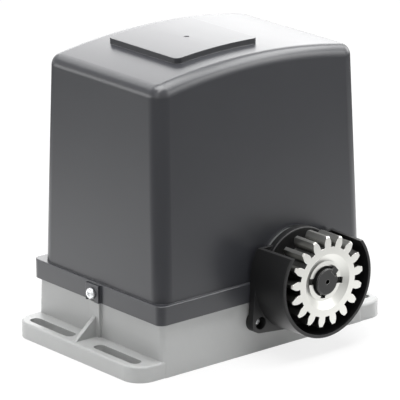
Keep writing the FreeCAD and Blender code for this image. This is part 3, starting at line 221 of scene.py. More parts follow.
@dataclass(frozen=True)
class Finish:
    """A surface finish: what it is made of, how it was made and what marks it has, with painted
    shade in gaps and painted highlight and wear on edges where given.
    """

    name: str
    colour: str
    second_colour: str
    roughness: float
    metallic: float = 0.0
    ior: float = 1.5
    coat: float = 0.0
    pattern: Pattern = Pattern.MOULDED
    # Size of the marks, pitch of stacked sheets, and how strongly the marks catch the light.
    grain_mm: float = 0.6
    pitch_mm: float = 0.5
    relief: float = 0.05
    # Size of the clouds in the colour, and how much the roughness follows them.
    mottle_mm: float = 35.0
    roughness_spread: float = 0.06
    # How much grooves round the Y axis draw a highlight out.
    groove_stretch: float = 0.0
    # Radius of the edges, and the colour of the painted highlight and wear on them.
    edge_mm: float = 0.3
    wear_and_sheen_colour: str = ""
    # Width of the gaps that get painted shade, if any.
    painted_shade_gap_mm: float = 0.0
    # Where the marks have their middle, and how they are turned.
    centre_mm: Three = (0.0, 0.0, 0.0)
    turn_deg: Three = (0.0, 0.0, 0.0)

    def build(self) -> Material:
        """Makes the material.

        Returns:
            The material, patterned on Object coordinates.
        """
        material = bpy.data.materials.new(self.name)
        tree = empty_tree(material)
        place = outlet(tree, "ShaderNodeTexCoord", "Object")
        local = outlet(
            tree, "ShaderNodeMapping", "Vector",
            {"Location": tuple(-c * MM for c in self.centre_mm)}, {"Vector": place})
        if any(self.turn_deg):
            local = outlet(
                tree, "ShaderNodeMapping", "Vector",
                {"Rotation": tuple(math.radians(a) for a in self.turn_deg)}, {"Vector": local})
        marks = self._marks(tree, local)
        cloud = outlet(
            tree, "ShaderNodeTexNoise", "Fac",
            {"Scale": 1 / (self.mottle_mm * MM), "Detail": 3.0}, {"Vector": local})
        half = outlet(tree, "ShaderNodeMath", 0, {1: 0.5}, {0: marks}, operation="MULTIPLY")
        blend = outlet(
            tree, "ShaderNodeMath", 0, {1: 0.5}, {0: cloud, 2: half}, operation="MULTIPLY_ADD")
        colour = outlet(
            tree, "ShaderNodeMix", 2, {6: linear(self.colour), 7: linear(self.second_colour)},
            {0: blend}, data_type="RGBA")
        edge = outlet(
            tree, "ShaderNodeBevel", "Normal", {"Radius": self.edge_mm * MM}, samples=4)
        colour = self._painted_shade_wear_and_sheen(tree, colour, edge)
        smoothest = max(self.roughness - self.roughness_spread, 0.02)
        rough = ramp(
            tree, blend, (0.0, 1.0), (smoothest, self.roughness + self.roughness_spread))
        bump = outlet(
            tree, "ShaderNodeBump", "Normal", {"Strength": self.relief, "Distance": MARK_M},
            {"Height": marks, "Normal": edge})
        feeds = {"Base Color": colour, "Roughness": rough, "Normal": bump}
        if self.groove_stretch:
            feeds["Tangent"] = outlet(
                tree, "ShaderNodeVectorMath", "Vector", {0: Axis.BACK.value}, {1: local},
                operation="CROSS_PRODUCT")
        surface = outlet(
            tree, "ShaderNodeBsdfPrincipled", "BSDF",
            {"Metallic": self.metallic, "IOR": self.ior, "Coat Weight": self.coat,
             "Anisotropic": self.groove_stretch}, feeds)
        add_node(tree, "ShaderNodeOutputMaterial", None, {"Surface": surface})
        return material

    def _painted_shade_wear_and_sheen(self, tree: NodeTree, colour: NodeSocket, edge: NodeSocket) -> NodeSocket:
        """Paints shade into the gaps, and highlight and wear along the edges.

        Args:
            tree: The material's tree.
            colour: The colour of the open and level faces.
            edge: The normal that is rounded over the edges.

        Returns:
            The socket with the colour.
        """
        # Painted shade: the colour darkens where ambient occlusion finds a narrow gap.
        if self.painted_shade_gap_mm:
            openness = outlet(
                tree, "ShaderNodeAmbientOcclusion", "AO", {"Distance": self.painted_shade_gap_mm * MM},
                samples=8, only_local=True)
            unshaded = ramp(tree, openness, SHADED_TO_OPEN, (0.0, 1.0))
            colour = outlet(
                tree, "ShaderNodeMix", 2, {6: linear(GAP_SHADE)}, {0: unshaded, 7: colour},
                data_type="RGBA")
        # Painted highlight and wear: the colour lightens along edges, where the rounded normal
        # leans off the face.
        if self.wear_and_sheen_colour:
            flat = outlet(tree, "ShaderNodeNewGeometry", "Normal")
            level = outlet(
                tree, "ShaderNodeVectorMath", "Value", None, {0: edge, 1: flat},
                operation="DOT_PRODUCT")
            wear_and_sheen = ramp(tree, level, LEVEL_TO_WEAR_AND_SHEEN, (0.0, MOST_WEAR_AND_SHEEN))
            colour = outlet(
                tree, "ShaderNodeMix", 2, {7: linear(self.wear_and_sheen_colour)},
                {0: wear_and_sheen, 6: colour}, data_type="RGBA")
        return colour

    def _marks(self, tree: NodeTree, local: NodeSocket) -> NodeSocket:
        """Adds the nodes of the surface's own marks.

        Args:
            tree: The material's tree.
            local: Coordinates about the finish's centre.

        Returns:
            The socket with the marks' height.
        """
        fine = 1 / (self.grain_mm * MM)
        if self.pattern is Pattern.TURNED:
            across = outlet(
                tree, "ShaderNodeVectorMath", "Vector", {1: (1.0, 0.0, 1.0)}, {0: local},
                operation="MULTIPLY")
            return outlet(
                tree, "ShaderNodeTexNoise", "Fac", {"Scale": fine, "Detail": 2.0},
                {"W": length_of(tree, across)}, noise_dimensions="1D")
        if self.pattern is Pattern.STACKED:
            return outlet(
                tree, "ShaderNodeTexWave", "Fac",
                {"Scale": WAVE_M / (self.pitch_mm * MM), "Distortion": 0.3,
                 "Detail Scale": 2.0},
                {"Vector": local}, wave_type="BANDS", bands_direction="Z")
        if self.pattern is Pattern.SPANGLED:
            return outlet(
                tree, "ShaderNodeTexVoronoi", "Color", {"Scale": fine}, {"Vector": local},
                feature="F1")
        return outlet(
            tree, "ShaderNodeTexNoise", "Fac",
            {"Scale": fine, "Detail": 4.0, "Roughness": 0.6}, {"Vector": local})


PINION_CENTRE_MM = (30.0, 0.0, 61.5)

# The lighter edge colours below paint highlight and wear along the edges.
FINISHES = {
    # Polyester powder coat on a pressure die casting: pale, even, with a faint orange peel.
    "base_paint": Finish(
        "powder_coated_die_casting", "#A4A5A5", "#ACADAC", 0.42, grain_mm=1.3, relief=0.10,
        edge_mm=0.5, wear_and_sheen_colour="#BDBEBE"),
    # ABS from a spark-eroded mould: satin, with a grain that only breaks up the gloss.
    "hood_plastic": Finish(
        "moulded_abs_dark_grey", "#2D2E32", "#313236", 0.30, ior=1.52, grain_mm=0.45,
        relief=0.06, roughness_spread=0.03, edge_mm=0.7, wear_and_sheen_colour="#4C4D51"),
    # Glass-filled nylon: black, duller than the hood. Its index is 1.53, but the fibres in
    # its skin scatter part of the gloss, as if it were 1.40.
    "guard_plastic": Finish(
        "moulded_glass_filled_nylon", "#0C0C0D", "#101011", 0.46, ior=1.40, grain_mm=0.5,
        relief=0.08, edge_mm=0.4, wear_and_sheen_colour="#3C3C3E"),
    # Turned and zinc-plated steel: lathe rings on a bright face, painted shade in the gaps,
    # painted highlight and wear on edges.
    "gear_steel": Finish(
        "turned_zinc_plated_steel", "#BDBDB8", "#CECECA", 0.33, metallic=1.0,
        pattern=Pattern.TURNED, grain_mm=0.35, relief=0.05, wear_and_sheen_colour="#F6F6F3",
        painted_shade_gap_mm=7.0, groove_stretch=0.35, centre_mm=PINION_CENTRE_MM),
    # Ground shaft steel with an oil film: dark, with faint rings on its end.
    "shaft_steel": Finish(
        "ground_oiled_shaft_steel", "#363636", "#424242", 0.38, metallic=1.0,
        pattern=Pattern.TURNED, grain_mm=0.5, relief=0.05, edge_mm=0.5,
        wear_and_sheen_colour="#A6A6A3", centre_mm=PINION_CENTRE_MM),
    # Bright zinc on rolled screws: shiny, hazed by the clear passivation over it.
    "screw_zinc": Finish(
        "bright_zinc_plated_screw", "#D2D4D6", "#E0E1E2", 0.28, metallic=0.9, grain_mm=0.3,
        relief=0.04),
    # Pressure die-cast aluminium, shot-blasted: dull silver with a sandy grain.
    "case_aluminium": Finish(
        "shot_blasted_die_cast_aluminium", "#A6A8AA", "#B6B8BA", 0.46, metallic=1.0,
        grain_mm=0.6, relief=0.22),
    # Ground bearing steel: the smoothest metal here.
    "bearing_steel": Finish(
        "ground_bearing_steel", "#B9BBBD", "#C6C8CA", 0.14, metallic=1.0, grain_mm=0.5,
        relief=0.02),
    # Nitrile rubber: matt black.
    "seal_rubber": Finish(
        "nitrile_rubber", "#121212", "#1A1A1A", 0.72, ior=1.52, grain_mm=0.8, relief=0.12),
    # Machined tin bronze: warm, with cutter rings.
    "wheel_bronze": Finish(
        "machined_tin_bronze", "#A9804A", "#B98F56", 0.30, metallic=1.0,
        pattern=Pattern.TURNED, grain_mm=0.5, relief=0.08, centre_mm=PINION_CENTRE_MM),
    # Enamelled copper wire: red-brown under a clear varnish.
    "winding_copper": Finish(
        "enamelled_copper_wire", "#8E4620", "#A85A2C", 0.30, metallic=0.9, grain_mm=0.7,
        relief=0.20, coat=0.4),
    # Electrical steel sheets stacked and dipped: each edge shows as a line. The sheets are
    # 0.5 mm, and are drawn at 3 mm so that they show.
    "core_steel": Finish(
        "stacked_electrical_steel", "#3C3F42", "#8A8D91", 0.40, metallic=0.9,
        pattern=Pattern.STACKED, relief=0.55, pitch_mm=3.0),
    # Hot-dip zinc-coated sheet: pale with crystals.
    "sheet_steel": Finish(
        "zinc_coated_sheet", "#A9ADB0", "#BCC0C2", 0.34, metallic=1.0,
        pattern=Pattern.SPANGLED, grain_mm=7.0, relief=0.03, roughness_spread=0.10),
    # Glass-epoxy laminate under green solder mask: glossy, with a faint weave.
    "board_laminate": Finish(
        "green_masked_laminate", "#0C4A26", "#115B30", 0.28, ior=1.55, grain_mm=1.1,
        relief=0.05, coat=0.3),
    # Filled PBT and epoxy mouldings: black, nearly matt.
    "board_parts": Finish(
        "moulded_black_pbt", "#17181A", "#1E1F21", 0.44, ior=1.57, grain_mm=0.5, relief=0.06),
    # Polyamide terminal strips: bright green, smooth.
    "terminal_plastic": Finish(
        "moulded_green_polyamide", "#1F7A43", "#268A4E", 0.36, ior=1.53, grain_mm=0.6,
        relief=0.04),
    # Polypropylene can: off-white, smooth and slightly waxy.
    "can_plastic": Finish(
        "moulded_white_polypropylene", "#D3D4CF", "#DBDCD8", 0.38, ior=1.49, grain_mm=0.9,
        relief=0.04),
    # Polyester tape wound over a coil: yellow with its edges showing.
    "coil_tape": Finish(
        "wound_polyester_tape", "#B98A1E", "#C99A2C", 0.34, ior=1.6, pattern=Pattern.STACKED,
        relief=0.30, pitch_mm=6.0),
    # Talc-filled polypropylene: dark grey and dull.
    "fan_plastic": Finish(
        "moulded_dark_polypropylene", "#26282B", "#2D2F32", 0.50, ior=1.49, grain_mm=0.7,
        relief=0.08),
    # Nylon lever: black with a soft sheen.
    "lever_plastic": Finish(
        "moulded_black_nylon", "#18181A", "#202022", 0.42, ior=1.53, grain_mm=0.5,
        relief=0.08),
}

# Pieces whose sheets, tape or cutter rings run another way than those of their slot.
RUN_OTHERWISE: dict[str, dict[str, Any]] = {
    "transformer_core": {"turn_deg": (90.0, 0.0, 0.0), "pitch_mm": 2.4},
    "transformer_coil": {"turn_deg": (90.0, 0.0, 0.0), "pitch_mm": 4.0},
    "worm_shaft": {"turn_deg": (90.0, 0.0, 0.0), "centre_mm": (-17.0, -20.0, 0.0)},
}


def in_scene(name: str, data: ID) -> Object:
    """Puts a new object into the scene."""
    thing = bpy.data.objects.new(name, data)
    bpy.context.scene.collection.objects.link(thing)
    return thing


def raw_mesh(maker: BMesh, name: str) -> Mesh:
    """Turns a bmesh, which is freed, into a mesh as it is."""
    mesh = bpy.data.meshes.new(name)
    maker.to_mesh(mesh)
    maker.free()
    return mesh


def mesh_from(maker: BMesh, name: str) -> Mesh:
    """Turns a bmesh into a mesh with smooth faces and sharp edges where it bends hard.

    Args:
        maker: The bmesh, which is freed.
        name: The mesh's name.

    Returns:
        The mesh.
    """
    bmesh.ops.remove_doubles(maker, verts=maker.verts, dist=WELD_M)
    bmesh.ops.recalc_face_normals(maker, faces=maker.faces)
    mesh = raw_mesh(maker, name)
    mesh.shade_smooth()
    mesh.set_sharp_from_angle(angle=SHARP)
    return mesh


def modified(host: Object, helper: Object, name: str) -> Mesh:
    """Takes the mesh that an object's modifiers make, and removes what made it.

    Args:
        host: The object with the modifiers.
        helper: The object that they use.
        name: The new mesh's name.

    Returns:
        The mesh.
    """
    bpy.context.view_layer.update()
    evaluated = host.evaluated_get(bpy.context.evaluated_depsgraph_get())
    mesh = bpy.data.meshes.new_from_object(evaluated)
    mesh.name = name
    for thing in (host, helper):
        bpy.data.objects.remove(thing)
    return mesh


def carve(body: Mesh, cutter: Mesh, name: str) -> Mesh:
    """Cuts one mesh out of another.

    Args:
        body: The mesh that loses material.
        cutter: The mesh of the cut.
        name: The result's name.

    Returns:
        The result.
    """
    kept, tool = in_scene(name + "_kept", body), in_scene(name + "_tool", cutter)
    modifier = kept.modifiers.new("carve", "BOOLEAN")
    modifier.object = tool
    modifier.solver = "EXACT"
    modifier.use_self = True
    mesh = modified(kept, tool, name)
    mesh.set_sharp_from_angle(angle=SHARP)
    return mesh


def turn(
    maker: BMesh, angle: float, axis: str, verts: Sequence[Any] | None = None
) -> None:
    """Turns a bmesh about an axis through the origin.

    Args:
        maker: The bmesh.
        angle: The turn in radians.
        axis: The axis, "X", "Y" or "Z".
        verts: The vertices that turn, or None for all.
    """
    bmesh.ops.rotate(
        maker, verts=verts or maker.verts, cent=(0, 0, 0),
        matrix=Matrix.Rotation(angle, 3, axis))


def lathe(profile: Iterable[Two], segments: int) -> BMesh:
    """Turns a profile round the Z axis.

    Args:
        profile: Radius and height of each corner, in metres, from axis to axis.
        segments: Steps of the full turn.

    Returns:
        The bmesh of the closed shape.
    """
    maker = bmesh.new()
    points = [maker.verts.new((radius, 0.0, height)) for radius, height in profile]
    edges = [maker.edges.new(pair) for pair in zip(points, points[1:])]
    bmesh.ops.spin(
        maker, geom=points + edges, cent=(0, 0, 0), axis=(0, 0, 1), angle=math.tau,
        steps=segments, use_merge=True)
    bmesh.ops.remove_doubles(maker, verts=maker.verts, dist=WELD_M)
    return maker


def rounded_box(
    low_mm: Sequence[float], high_mm: Sequence[float], edge_mm: float, steps: int = 1
) -> BMesh:
    """Makes a box with rounded edges.

    Args:
        low_mm: Its lowest corner.
        high_mm: Its highest corner.
        edge_mm: Radius of its edges.
        steps: Facets of each edge.

    Returns:
        The bmesh, in metres.
    """
    maker = bmesh.new()
    for vertex in bmesh.ops.create_cube(maker, size=1.0)["verts"]:
        vertex.co = Vector(
            (high if side > 0 else low) * MM
            for side, low, high in zip(vertex.co, low_mm, high_mm))
    bmesh.ops.bevel(
        maker, geom=list(maker.edges), offset=edge_mm * MM, segments=steps, profile=0.5,
        affect="EDGES", clamp_overlap=True)
    return maker


def screw_well(radius_mm: float, deep_mm: float, seat: Vector, out: Axis) -> BMesh:
    """Makes the cylinder that cuts the well of a screw.

    Args:
        radius_mm: The well's radius.
        deep_mm: Length of the cylinder, which has to reach out of the face.
        seat: The middle of the well's floor, in metres.
        out: Where the well opens, to the front or the back.

    Returns:
        The bmesh.
    """
    radius, deep = radius_mm * MM, deep_mm * MM
    cutter = lathe([(0.0, 0.0), (radius, 0.0), (radius, deep), (0.0, deep)], 24)
    turn(cutter, math.copysign(QUARTER, -out.vector.y), "X")
    bmesh.ops.translate(cutter, verts=cutter.verts, vec=seat)
    return cutter


def joined(makers: Iterable[BMesh], name: str) -> Mesh:
    """Joins bmeshes into one mesh.

    Args:
        makers: The bmeshes, which are freed.
        name: The mesh's name.

    Returns:
        The mesh.
    """
    whole = bmesh.new()
    for maker in makers:
        part = raw_mesh(maker, name + "_part")
        whole.from_mesh(part)
        bpy.data.meshes.remove(part)
    return mesh_from(whole, name)


class Repeater:
    """A node tree that sets one shape on every point of a host mesh and gives it a finish."""

    INPUTS = (
        ("Points", "Geometry"), ("Shape", "Object"), ("Turn Spread", "Float"), ("Seed", "Int"),
        ("Finish", "Material"),
    )

    def __init__(self) -> None:
        """Builds the tree with its named inputs."""
        tree = bpy.data.node_groups.new("set_on_points", "GeometryNodeTree")
        for label, kind in self.INPUTS:
            tree.interface.new_socket(label, in_out="INPUT", socket_type="NodeSocket" + kind)
        tree.interface.new_socket(
            "Pieces", in_out="OUTPUT", socket_type="NodeSocketGeometry")
        entry = add_node(tree, "NodeGroupInput").outputs
        aim = outlet(
            tree, "GeometryNodeInputNamedAttribute", "Attribute", {"Name": "aim"},
            data_type="FLOAT_VECTOR")
        upright = outlet(
            tree, "FunctionNodeAlignRotationToVector", "Rotation", None, {"Vector": aim},
            axis="Z")
        least = outlet(
            tree, "ShaderNodeMath", 0, {1: -1.0}, {0: entry["Turn Spread"]},
            operation="MULTIPLY")
        chance = outlet(
            tree, "FunctionNodeRandomValue", 1, None,
            {2: least, 3: entry["Turn Spread"], "Seed": entry["Seed"]}, data_type="FLOAT")
        spin = outlet(tree, "ShaderNodeCombineXYZ", "Vector", None, {"Z": chance})
        spin = outlet(tree, "FunctionNodeEulerToRotation", 0, None, {0: spin})
        both = outlet(
            tree, "FunctionNodeRotateRotation", "Rotation", None,
            {"Rotation": upright, "Rotate By": spin}, rotation_space="LOCAL")
        shape = outlet(
            tree, "GeometryNodeObjectInfo", "Geometry", None, {"Object": entry["Shape"]})
        copies = outlet(
            tree, "GeometryNodeInstanceOnPoints", "Instances", None,
            {"Points": entry["Points"], "Instance": shape, "Rotation": both})
        real = outlet(
            tree, "GeometryNodeRealizeInstances", "Geometry", None, {"Geometry": copies})
        finished = outlet(
            tree, "GeometryNodeSetMaterial", "Geometry", None,
            {"Geometry": real, "Material": entry["Finish"]})
        add_node(tree, "NodeGroupOutput", None, {"Pieces": finished})
        self.tree = tree


class Workshop:
    """The frame's nodes and the finishes, with what every builder does to them."""

    def __init__(self, frame: dict[str, Any]) -> None:
        """Takes over the frame and starts with no piece made.

        Args:
            frame: The frame's nodes and its record.
        """
        self.nodes: dict[str, Object] = frame["nodes"]
        self.slots = {
            part["node"]: part["material_slot"] for part in frame["record"]["subparts"]
        }
        self.made: dict[str, Material] = {}
        self.repeater = Repeater()

    def finish(self, slot: str, node: str = "") -> Material:
        """Gives the material of a slot, and makes it on the first call.

        Args:
            slot: The slot's name in the record.
            node: The node that wears it, whose marks may run another way.

        Returns:
            The material.
        """
        name = node if node in RUN_OTHERWISE else slot
        if name not in self.made:
            finish = FINISHES[slot]
            if name == node:
                finish = replace(finish, name=finish.name + "_" + node, **RUN_OTHERWISE[node])
            self.made[name] = finish.build()
        return self.made[name]

    def dress(self) -> None:
        """Gives every node of the frame its finish from the record."""
        for name, node in self.nodes.items():
            material = self.finish(self.slots[name], name)
            for slot in node.material_slots:
                slot.material = material
            LOG.info("%s: %s", name, material.name)

    def welded(self, node: str) -> BMesh:
        """Copies a node's mesh with its loose triangles joined."""
        maker = bmesh.new()
        maker.from_mesh(self.nodes[node].data)
        bmesh.ops.remove_doubles(maker, verts=maker.verts, dist=FRAME_WELD_M)
        return maker

    def islands(self, node: str) -> list[tuple[Vector, Vector]]:
        """Finds the boxes of a node's separate solids.

        Args:
            node: The frame's node.

        Returns:
            The lowest and highest corner of each, in metres.
        """
        maker = self.welded(node)
        left = set(maker.verts)
        boxes = []
        while left:
            queue = [left.pop()]
            corners = []
            while queue:
                vertex = queue.pop()
                corners.append(vertex.co.copy())
                for edge in vertex.link_edges:
                    other = edge.other_vert(vertex)
                    if other in left:
                        left.remove(other)
                        queue.append(other)
            boxes.append(tuple(
                Vector(pick(c[i] for c in corners) for i in range(3)) for pick in (min, max)
            ))
        maker.free()
        return sorted(boxes, key=lambda pair: tuple(pair[0]))

    def hand_in(self, mesh: Mesh, slot: str, replaced: Sequence[str] = ()) -> None:
        """Puts a finished mesh into the scene as a piece of the body that stands still.

        Args:
            mesh: The mesh, with its place in it.
            slot: The slot in the record that it takes its finish from.
            replaced: The frame's nodes that it stands for.
        """
        if not mesh.materials:
            mesh.materials.append(self.finish(slot))
        piece = in_scene(mesh.name, mesh)
        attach(piece, "root")
        if replaced:
            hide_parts(*replaced)
        LOG.info("%s: %d faces", mesh.name, len(mesh.polygons))

    def repeat(
        self,
        name: str,
        shape: Mesh,
        places: Sequence[Place],
        slot: str,
        replaced: Sequence[str] = (),
        turn_spread: float = 0.0,
        seed: int = 1,
    ) -> None:
        """Hands in one piece that is a shape repeated on places.

        Args:
            name: The piece's name.
            shape: The shape, with +Z as its outward side.
            places: Seat and outward direction of each copy.
            slot: The slot in the record that it takes its finish from.
            replaced: The frame's nodes that it stands for.
            turn_spread: Largest turn of a copy about its own axis, in radians.
            seed: Seed of those turns.
        """
        points = bpy.data.meshes.new(name + "_places")
        points.from_pydata([tuple(seat) for seat, _ in places], [], [])
        aims = points.attributes.new("aim", "FLOAT_VECTOR", "POINT")
        aims.data.foreach_set("vector", [c for _, aim in places for c in aim])
        host, model = in_scene(name + "_host", points), in_scene(name + "_shape", shape)
        modifier = host.modifiers.new("repeat", "NODES")
        modifier.node_group = self.repeater.tree
        given = {"Shape": model, "Turn Spread": turn_spread, "Seed": seed,
                 "Finish": self.finish(slot)}
        for item in self.repeater.tree.interface.items_tree:
            if item.name in given:
                modifier[item.identifier] = given[item.name]
        self.hand_in(modified(host, model, name), slot, replaced)


@dataclass(frozen=True)
class CrossHeadScrew:
    """Pan-head screw with a cross recess, its head on the plane z = 0 of its own frame."""

    thread_mm: float
    head_mm: float
    crown_mm: float
    shank_mm: float
    recess_mm: float = 1.5
    # How square the dome is, and the share of the crown that stands up straight.
    dome_power: float = 0.6
    rim_share: float = 0.35
    # Length and width of the cross as shares of the head, and how far it narrows below.
    arm_share: float = 0.52
    arm_width_share: float = 0.12
    taper: float = 0.45

    def mesh(self, name: str) -> Mesh:
        """Makes the screw, its head pointing up.

        Args:
            name: The mesh's name.

        Returns:
            The mesh, in metres.
        """
        head, crown = self.head_mm * MM, self.crown_mm * MM
        thread, shank = self.thread_mm * MM, self.shank_mm * MM
        dome = [
            (head * math.cos(math.radians(a)) ** self.dome_power,
             crown * (self.rim_share + (1 - self.rim_share) * math.sin(math.radians(a))))
            for a in range(0, 90, 10)
        ]
        outline = [(0.0, -shank), (thread * 0.8, -shank), (thread, -shank * 0.9), (thread, 0.0),
                   (head, 0.0), *dome, (0.0, crown)]
        return carve(mesh_from(lathe(outline, 32), name), self._cross(name + "_cross"), name)

    def _cross(self, name: str) -> Mesh:
        """Makes the tapered cross that cuts the recess.

        Args:
            name: The mesh's name.

        Returns:
            The mesh, in metres.
        """
        maker = bmesh.new()
        crown, deep = self.crown_mm * MM, self.recess_mm * MM
        arm, wide = self.head_mm * self.arm_share * MM, self.head_mm * self.arm_width_share * MM
        for angle in (0.0, QUARTER):
            bar = bmesh.ops.create_cube(maker, size=1.0)["verts"]
            for vertex in bar:
                top = vertex.co.z > 0
                vertex.co = Vector((
                    math.copysign(arm if top else arm * self.taper, vertex.co.x),
                    math.copysign(wide, vertex.co.y),
                    crown * 1.2 if top else crown - deep,
                ))
            turn(maker, angle, "Z", bar)
        bmesh.ops.recalc_face_normals(maker, faces=maker.faces)
        return raw_mesh(maker, name)


@dataclass(frozen=True)
class ScrewSet:
    """The screws of one node, put where the frame has their solids."""

    node: str
    out: Axis
    screw: CrossHeadScrew
    both_ways: bool = False

    def places(self, shop: Workshop) -> list[Place]:
        """Finds the seat of each head from the box of its solid.

        Args:
            shop: Knows the node's solids.

        Returns:
            Seat and outward direction of each screw.
        """
        found = []
        axis = max(range(3), key=lambda i: abs(self.out.value[i]))
        for low, high in shop.islands(self.node):
            out = self.out.vector
            if self.both_ways and (low + high)[axis] < 0:
                out = -out
            seat = (low + high) / 2
            end = high[axis] if out[axis] > 0 else low[axis]
            seat[axis] = end - out[axis] * self.screw.crown_mm * MM
            found.append((seat, out))
        return found


@dataclass(frozen=True)
class Fixings:
    """All the screws of the drive unit."""

    shop: Workshop
    turn_spread: float = 0.8
    first_seed: int = 3
    sets: tuple[ScrewSet, ...] = (
        ScrewSet("cover_screws", Axis.RIGHT, CrossHeadScrew(2.0, 4.75, 3.2, 11.0, 1.9), True),
        ScrewSet("guard_screws", Axis.FRONT, CrossHeadScrew(2.0, 3.45, 2.8, 10.0)),
        ScrewSet("lid_screws", Axis.BACK, CrossHeadScrew(2.0, 3.6, 2.8, 14.0)),
        ScrewSet("motor_bolts", Axis.UP, CrossHeadScrew(2.0, 3.8, 3.2, 70.0)),
        ScrewSet("gearbox_bolts", Axis.UP, CrossHeadScrew(3.0, 5.1, 4.2, 14.0)),
        ScrewSet("bracket_screws", Axis.UP, CrossHeadScrew(2.0, 3.6, 2.8, 5.0)),
        ScrewSet("board_screws", Axis.BACK, CrossHeadScrew(1.5, 2.85, 2.1, 8.0)),
    )

    def build(self) -> None:
        """Sets the screws in place of the plain ones, each screwed round by chance."""
        for seed, screws in enumerate(self.sets, start=self.first_seed):
            self.shop.repeat(
                screws.node + "_detailed", screws.screw.mesh(screws.node + "_one"),
                screws.places(self.shop),"screw_zinc", [screws.node], self.turn_spread, seed)


@dataclass(frozen=True)
class ControlBoard:
    """What stands on the board: relays, cans, strips with their screws, chips and joints."""

    shop: Workshop
    relay_edge_mm: float = 0.9
    relay_foot_mm: float = 1.2
    relay_inset_mm: float = 0.35
    can_radius_mm: float = 6.0
    can_height_mm: float = 16.0
    # The can's outline in shares of its radius and height: foot, crimp, wall and sunk top.
    can_outline: tuple[Two, ...] = (
        (0.0, 0.0), (0.94, 0.0), (1.0, 0.02), (1.0, 0.10), (0.9, 0.14), (0.9, 0.17),
        (1.0, 0.21), (1.0, 0.94), (0.96, 0.985), (0.86, 1.0), (0.80, 0.975), (0.0, 0.975),
    )
    # Half the length, half the width and the depth of the cross scored into its top.
    score_mm: Three = (3.6, 0.25, 0.8)
    well_radius_mm: float = 3.1
    well_depth_mm: float = 2.4
    way_pitch_mm: float = 10.0
    groove_mm: Two = (0.7, 1.0)
    # Pitch of the processor's pins, their reach, width and height, and their thickness.
    pin_pitch_mm: float = 1.27
    pin_mm: Three = (1.6, 0.45, 0.9)
    pin_sheet_mm: float = 0.25
    pin_root_mm: float = 0.2
    chip_mm: Three = (3.2, 1.7, 1.1)
    chip_pitch_mm: Two = (8.5, 7.0)
    # Left, right, bottom and top of the fields of the board that are free.
    chip_fields_mm: tuple[tuple[float, float, float, float], ...] = (
        (-64.0, -20.0, 124.0, 164.0), (8.0, 28.0, 124.0, 164.0), (48.0, 66.0, 150.0, 186.0),
    )
    # Radius, height and outline of a solder joint, and its way from the chip's middle.
    joint_mm: Two = (0.95, 0.5)
    joint_outline: tuple[Two, ...] = (
        (0.0, 0.0), (1.0, 0.0), (0.9, 0.45), (0.5, 0.85), (0.0, 1.0),
    )
    joint_share: float = 0.62

    def build(self) -> None:
        """Builds every piece of the board."""
        self._relays()
        self._cans()
        self._strips()
        self._processor()
        self._chips()

    def _feet(self, node: str) -> list[Place]:
        """Finds where a node's solids stand on the board, and the way out of it."""
        return [
            (Vector(((low.x + high.x) / 2, low.y, (low.z + high.z) / 2)), Axis.BACK.vector)
            for low, high in self.shop.islands(node)
        ]

    def _relays(self) -> None:
        """Makes the relay housings, each a cap on a slightly wider foot."""
        low, high = self.shop.islands("relays")[0]
        half, tall = (high.x - low.x) / 2 / MM, (high.y - low.y) / MM
        foot, cap = self.relay_foot_mm, half - self.relay_inset_mm
        shape = joined([
            rounded_box((-half, -half, 0), (half, half, foot), 0.3, 2),
            rounded_box((-cap, -cap, foot - 0.2), (cap, cap, tall), self.relay_edge_mm, 3),
        ], "relay_housing")
        self.shop.repeat(
            "relay_housings", shape, self._feet("relays"), "board_parts", ["relays"])

    def _cans(self) -> None:
        """Makes the electrolytic capacitors with their crimp and scored top."""
        radius, tall = self.can_radius_mm * MM, self.can_height_mm * MM
        can = lathe([(radius * out, tall * up) for out, up in self.can_outline], 40)
        long, wide, deep = self.score_mm
        score = []
        for angle in (0.0, QUARTER):
            bar = rounded_box((-long, -wide, self.can_height_mm - deep),
                              (long, wide, self.can_height_mm + 1), 0.05)
            turn(bar, angle, "Z")
            score.append(bar)
        shape = carve(mesh_from(can, "can"), joined(score, "can_score"), "can")
        self.shop.repeat(
            "electrolytic_cans", shape, self._feet("board_capacitors"), "board_parts",
            ["board_capacitors"], turn_spread=1.5, seed=21)

    def _strips(self) -> None:
        """Carves screw wells and grooves into the terminal strips and puts their screws in."""
        cutters, seats = [], []
        width, depth = self.groove_mm
        for low, high in self.shop.islands("terminal_blocks"):
            face, middle = high.y / MM, (low.z + high.z) / 2 / MM
            for way in range(round((high.x - low.x) / MM / self.way_pitch_mm)):
                left = low.x / MM + self.way_pitch_mm * way
                seats.append(Vector((
                    left + self.way_pitch_mm / 2, face - self.well_depth_mm, middle)) * MM)
                if way:
                    cutters.append(rounded_box(
                        (left - width / 2, face - depth, low.z / MM - 1),
                        (left + width / 2, face + 1, high.z / MM + 1), 0.05))
        cutters.extend(
            screw_well(self.well_radius_mm, 6.0, seat, Axis.BACK) for seat in seats)
        blocks = self.shop.welded("terminal_blocks")
        bmesh.ops.dissolve_limit(
            blocks, angle_limit=math.radians(0.5), verts=blocks.verts, edges=blocks.edges)
        strips = carve(
            raw_mesh(blocks, "strips"), joined(cutters, "strip_cutters"), "terminal_strips")
        self.shop.hand_in(strips, "terminal_plastic", ["terminal_blocks"])
        screw = CrossHeadScrew(1.4, self.well_radius_mm - 0.35, 1.5, 1.0, 0.9)
        self.shop.repeat(
            "terminal_screws", screw.mesh("terminal_screw"),
            [(seat, Axis.BACK.vector) for seat in seats], "screw_zinc", turn_spread=1.2,
            seed=22)

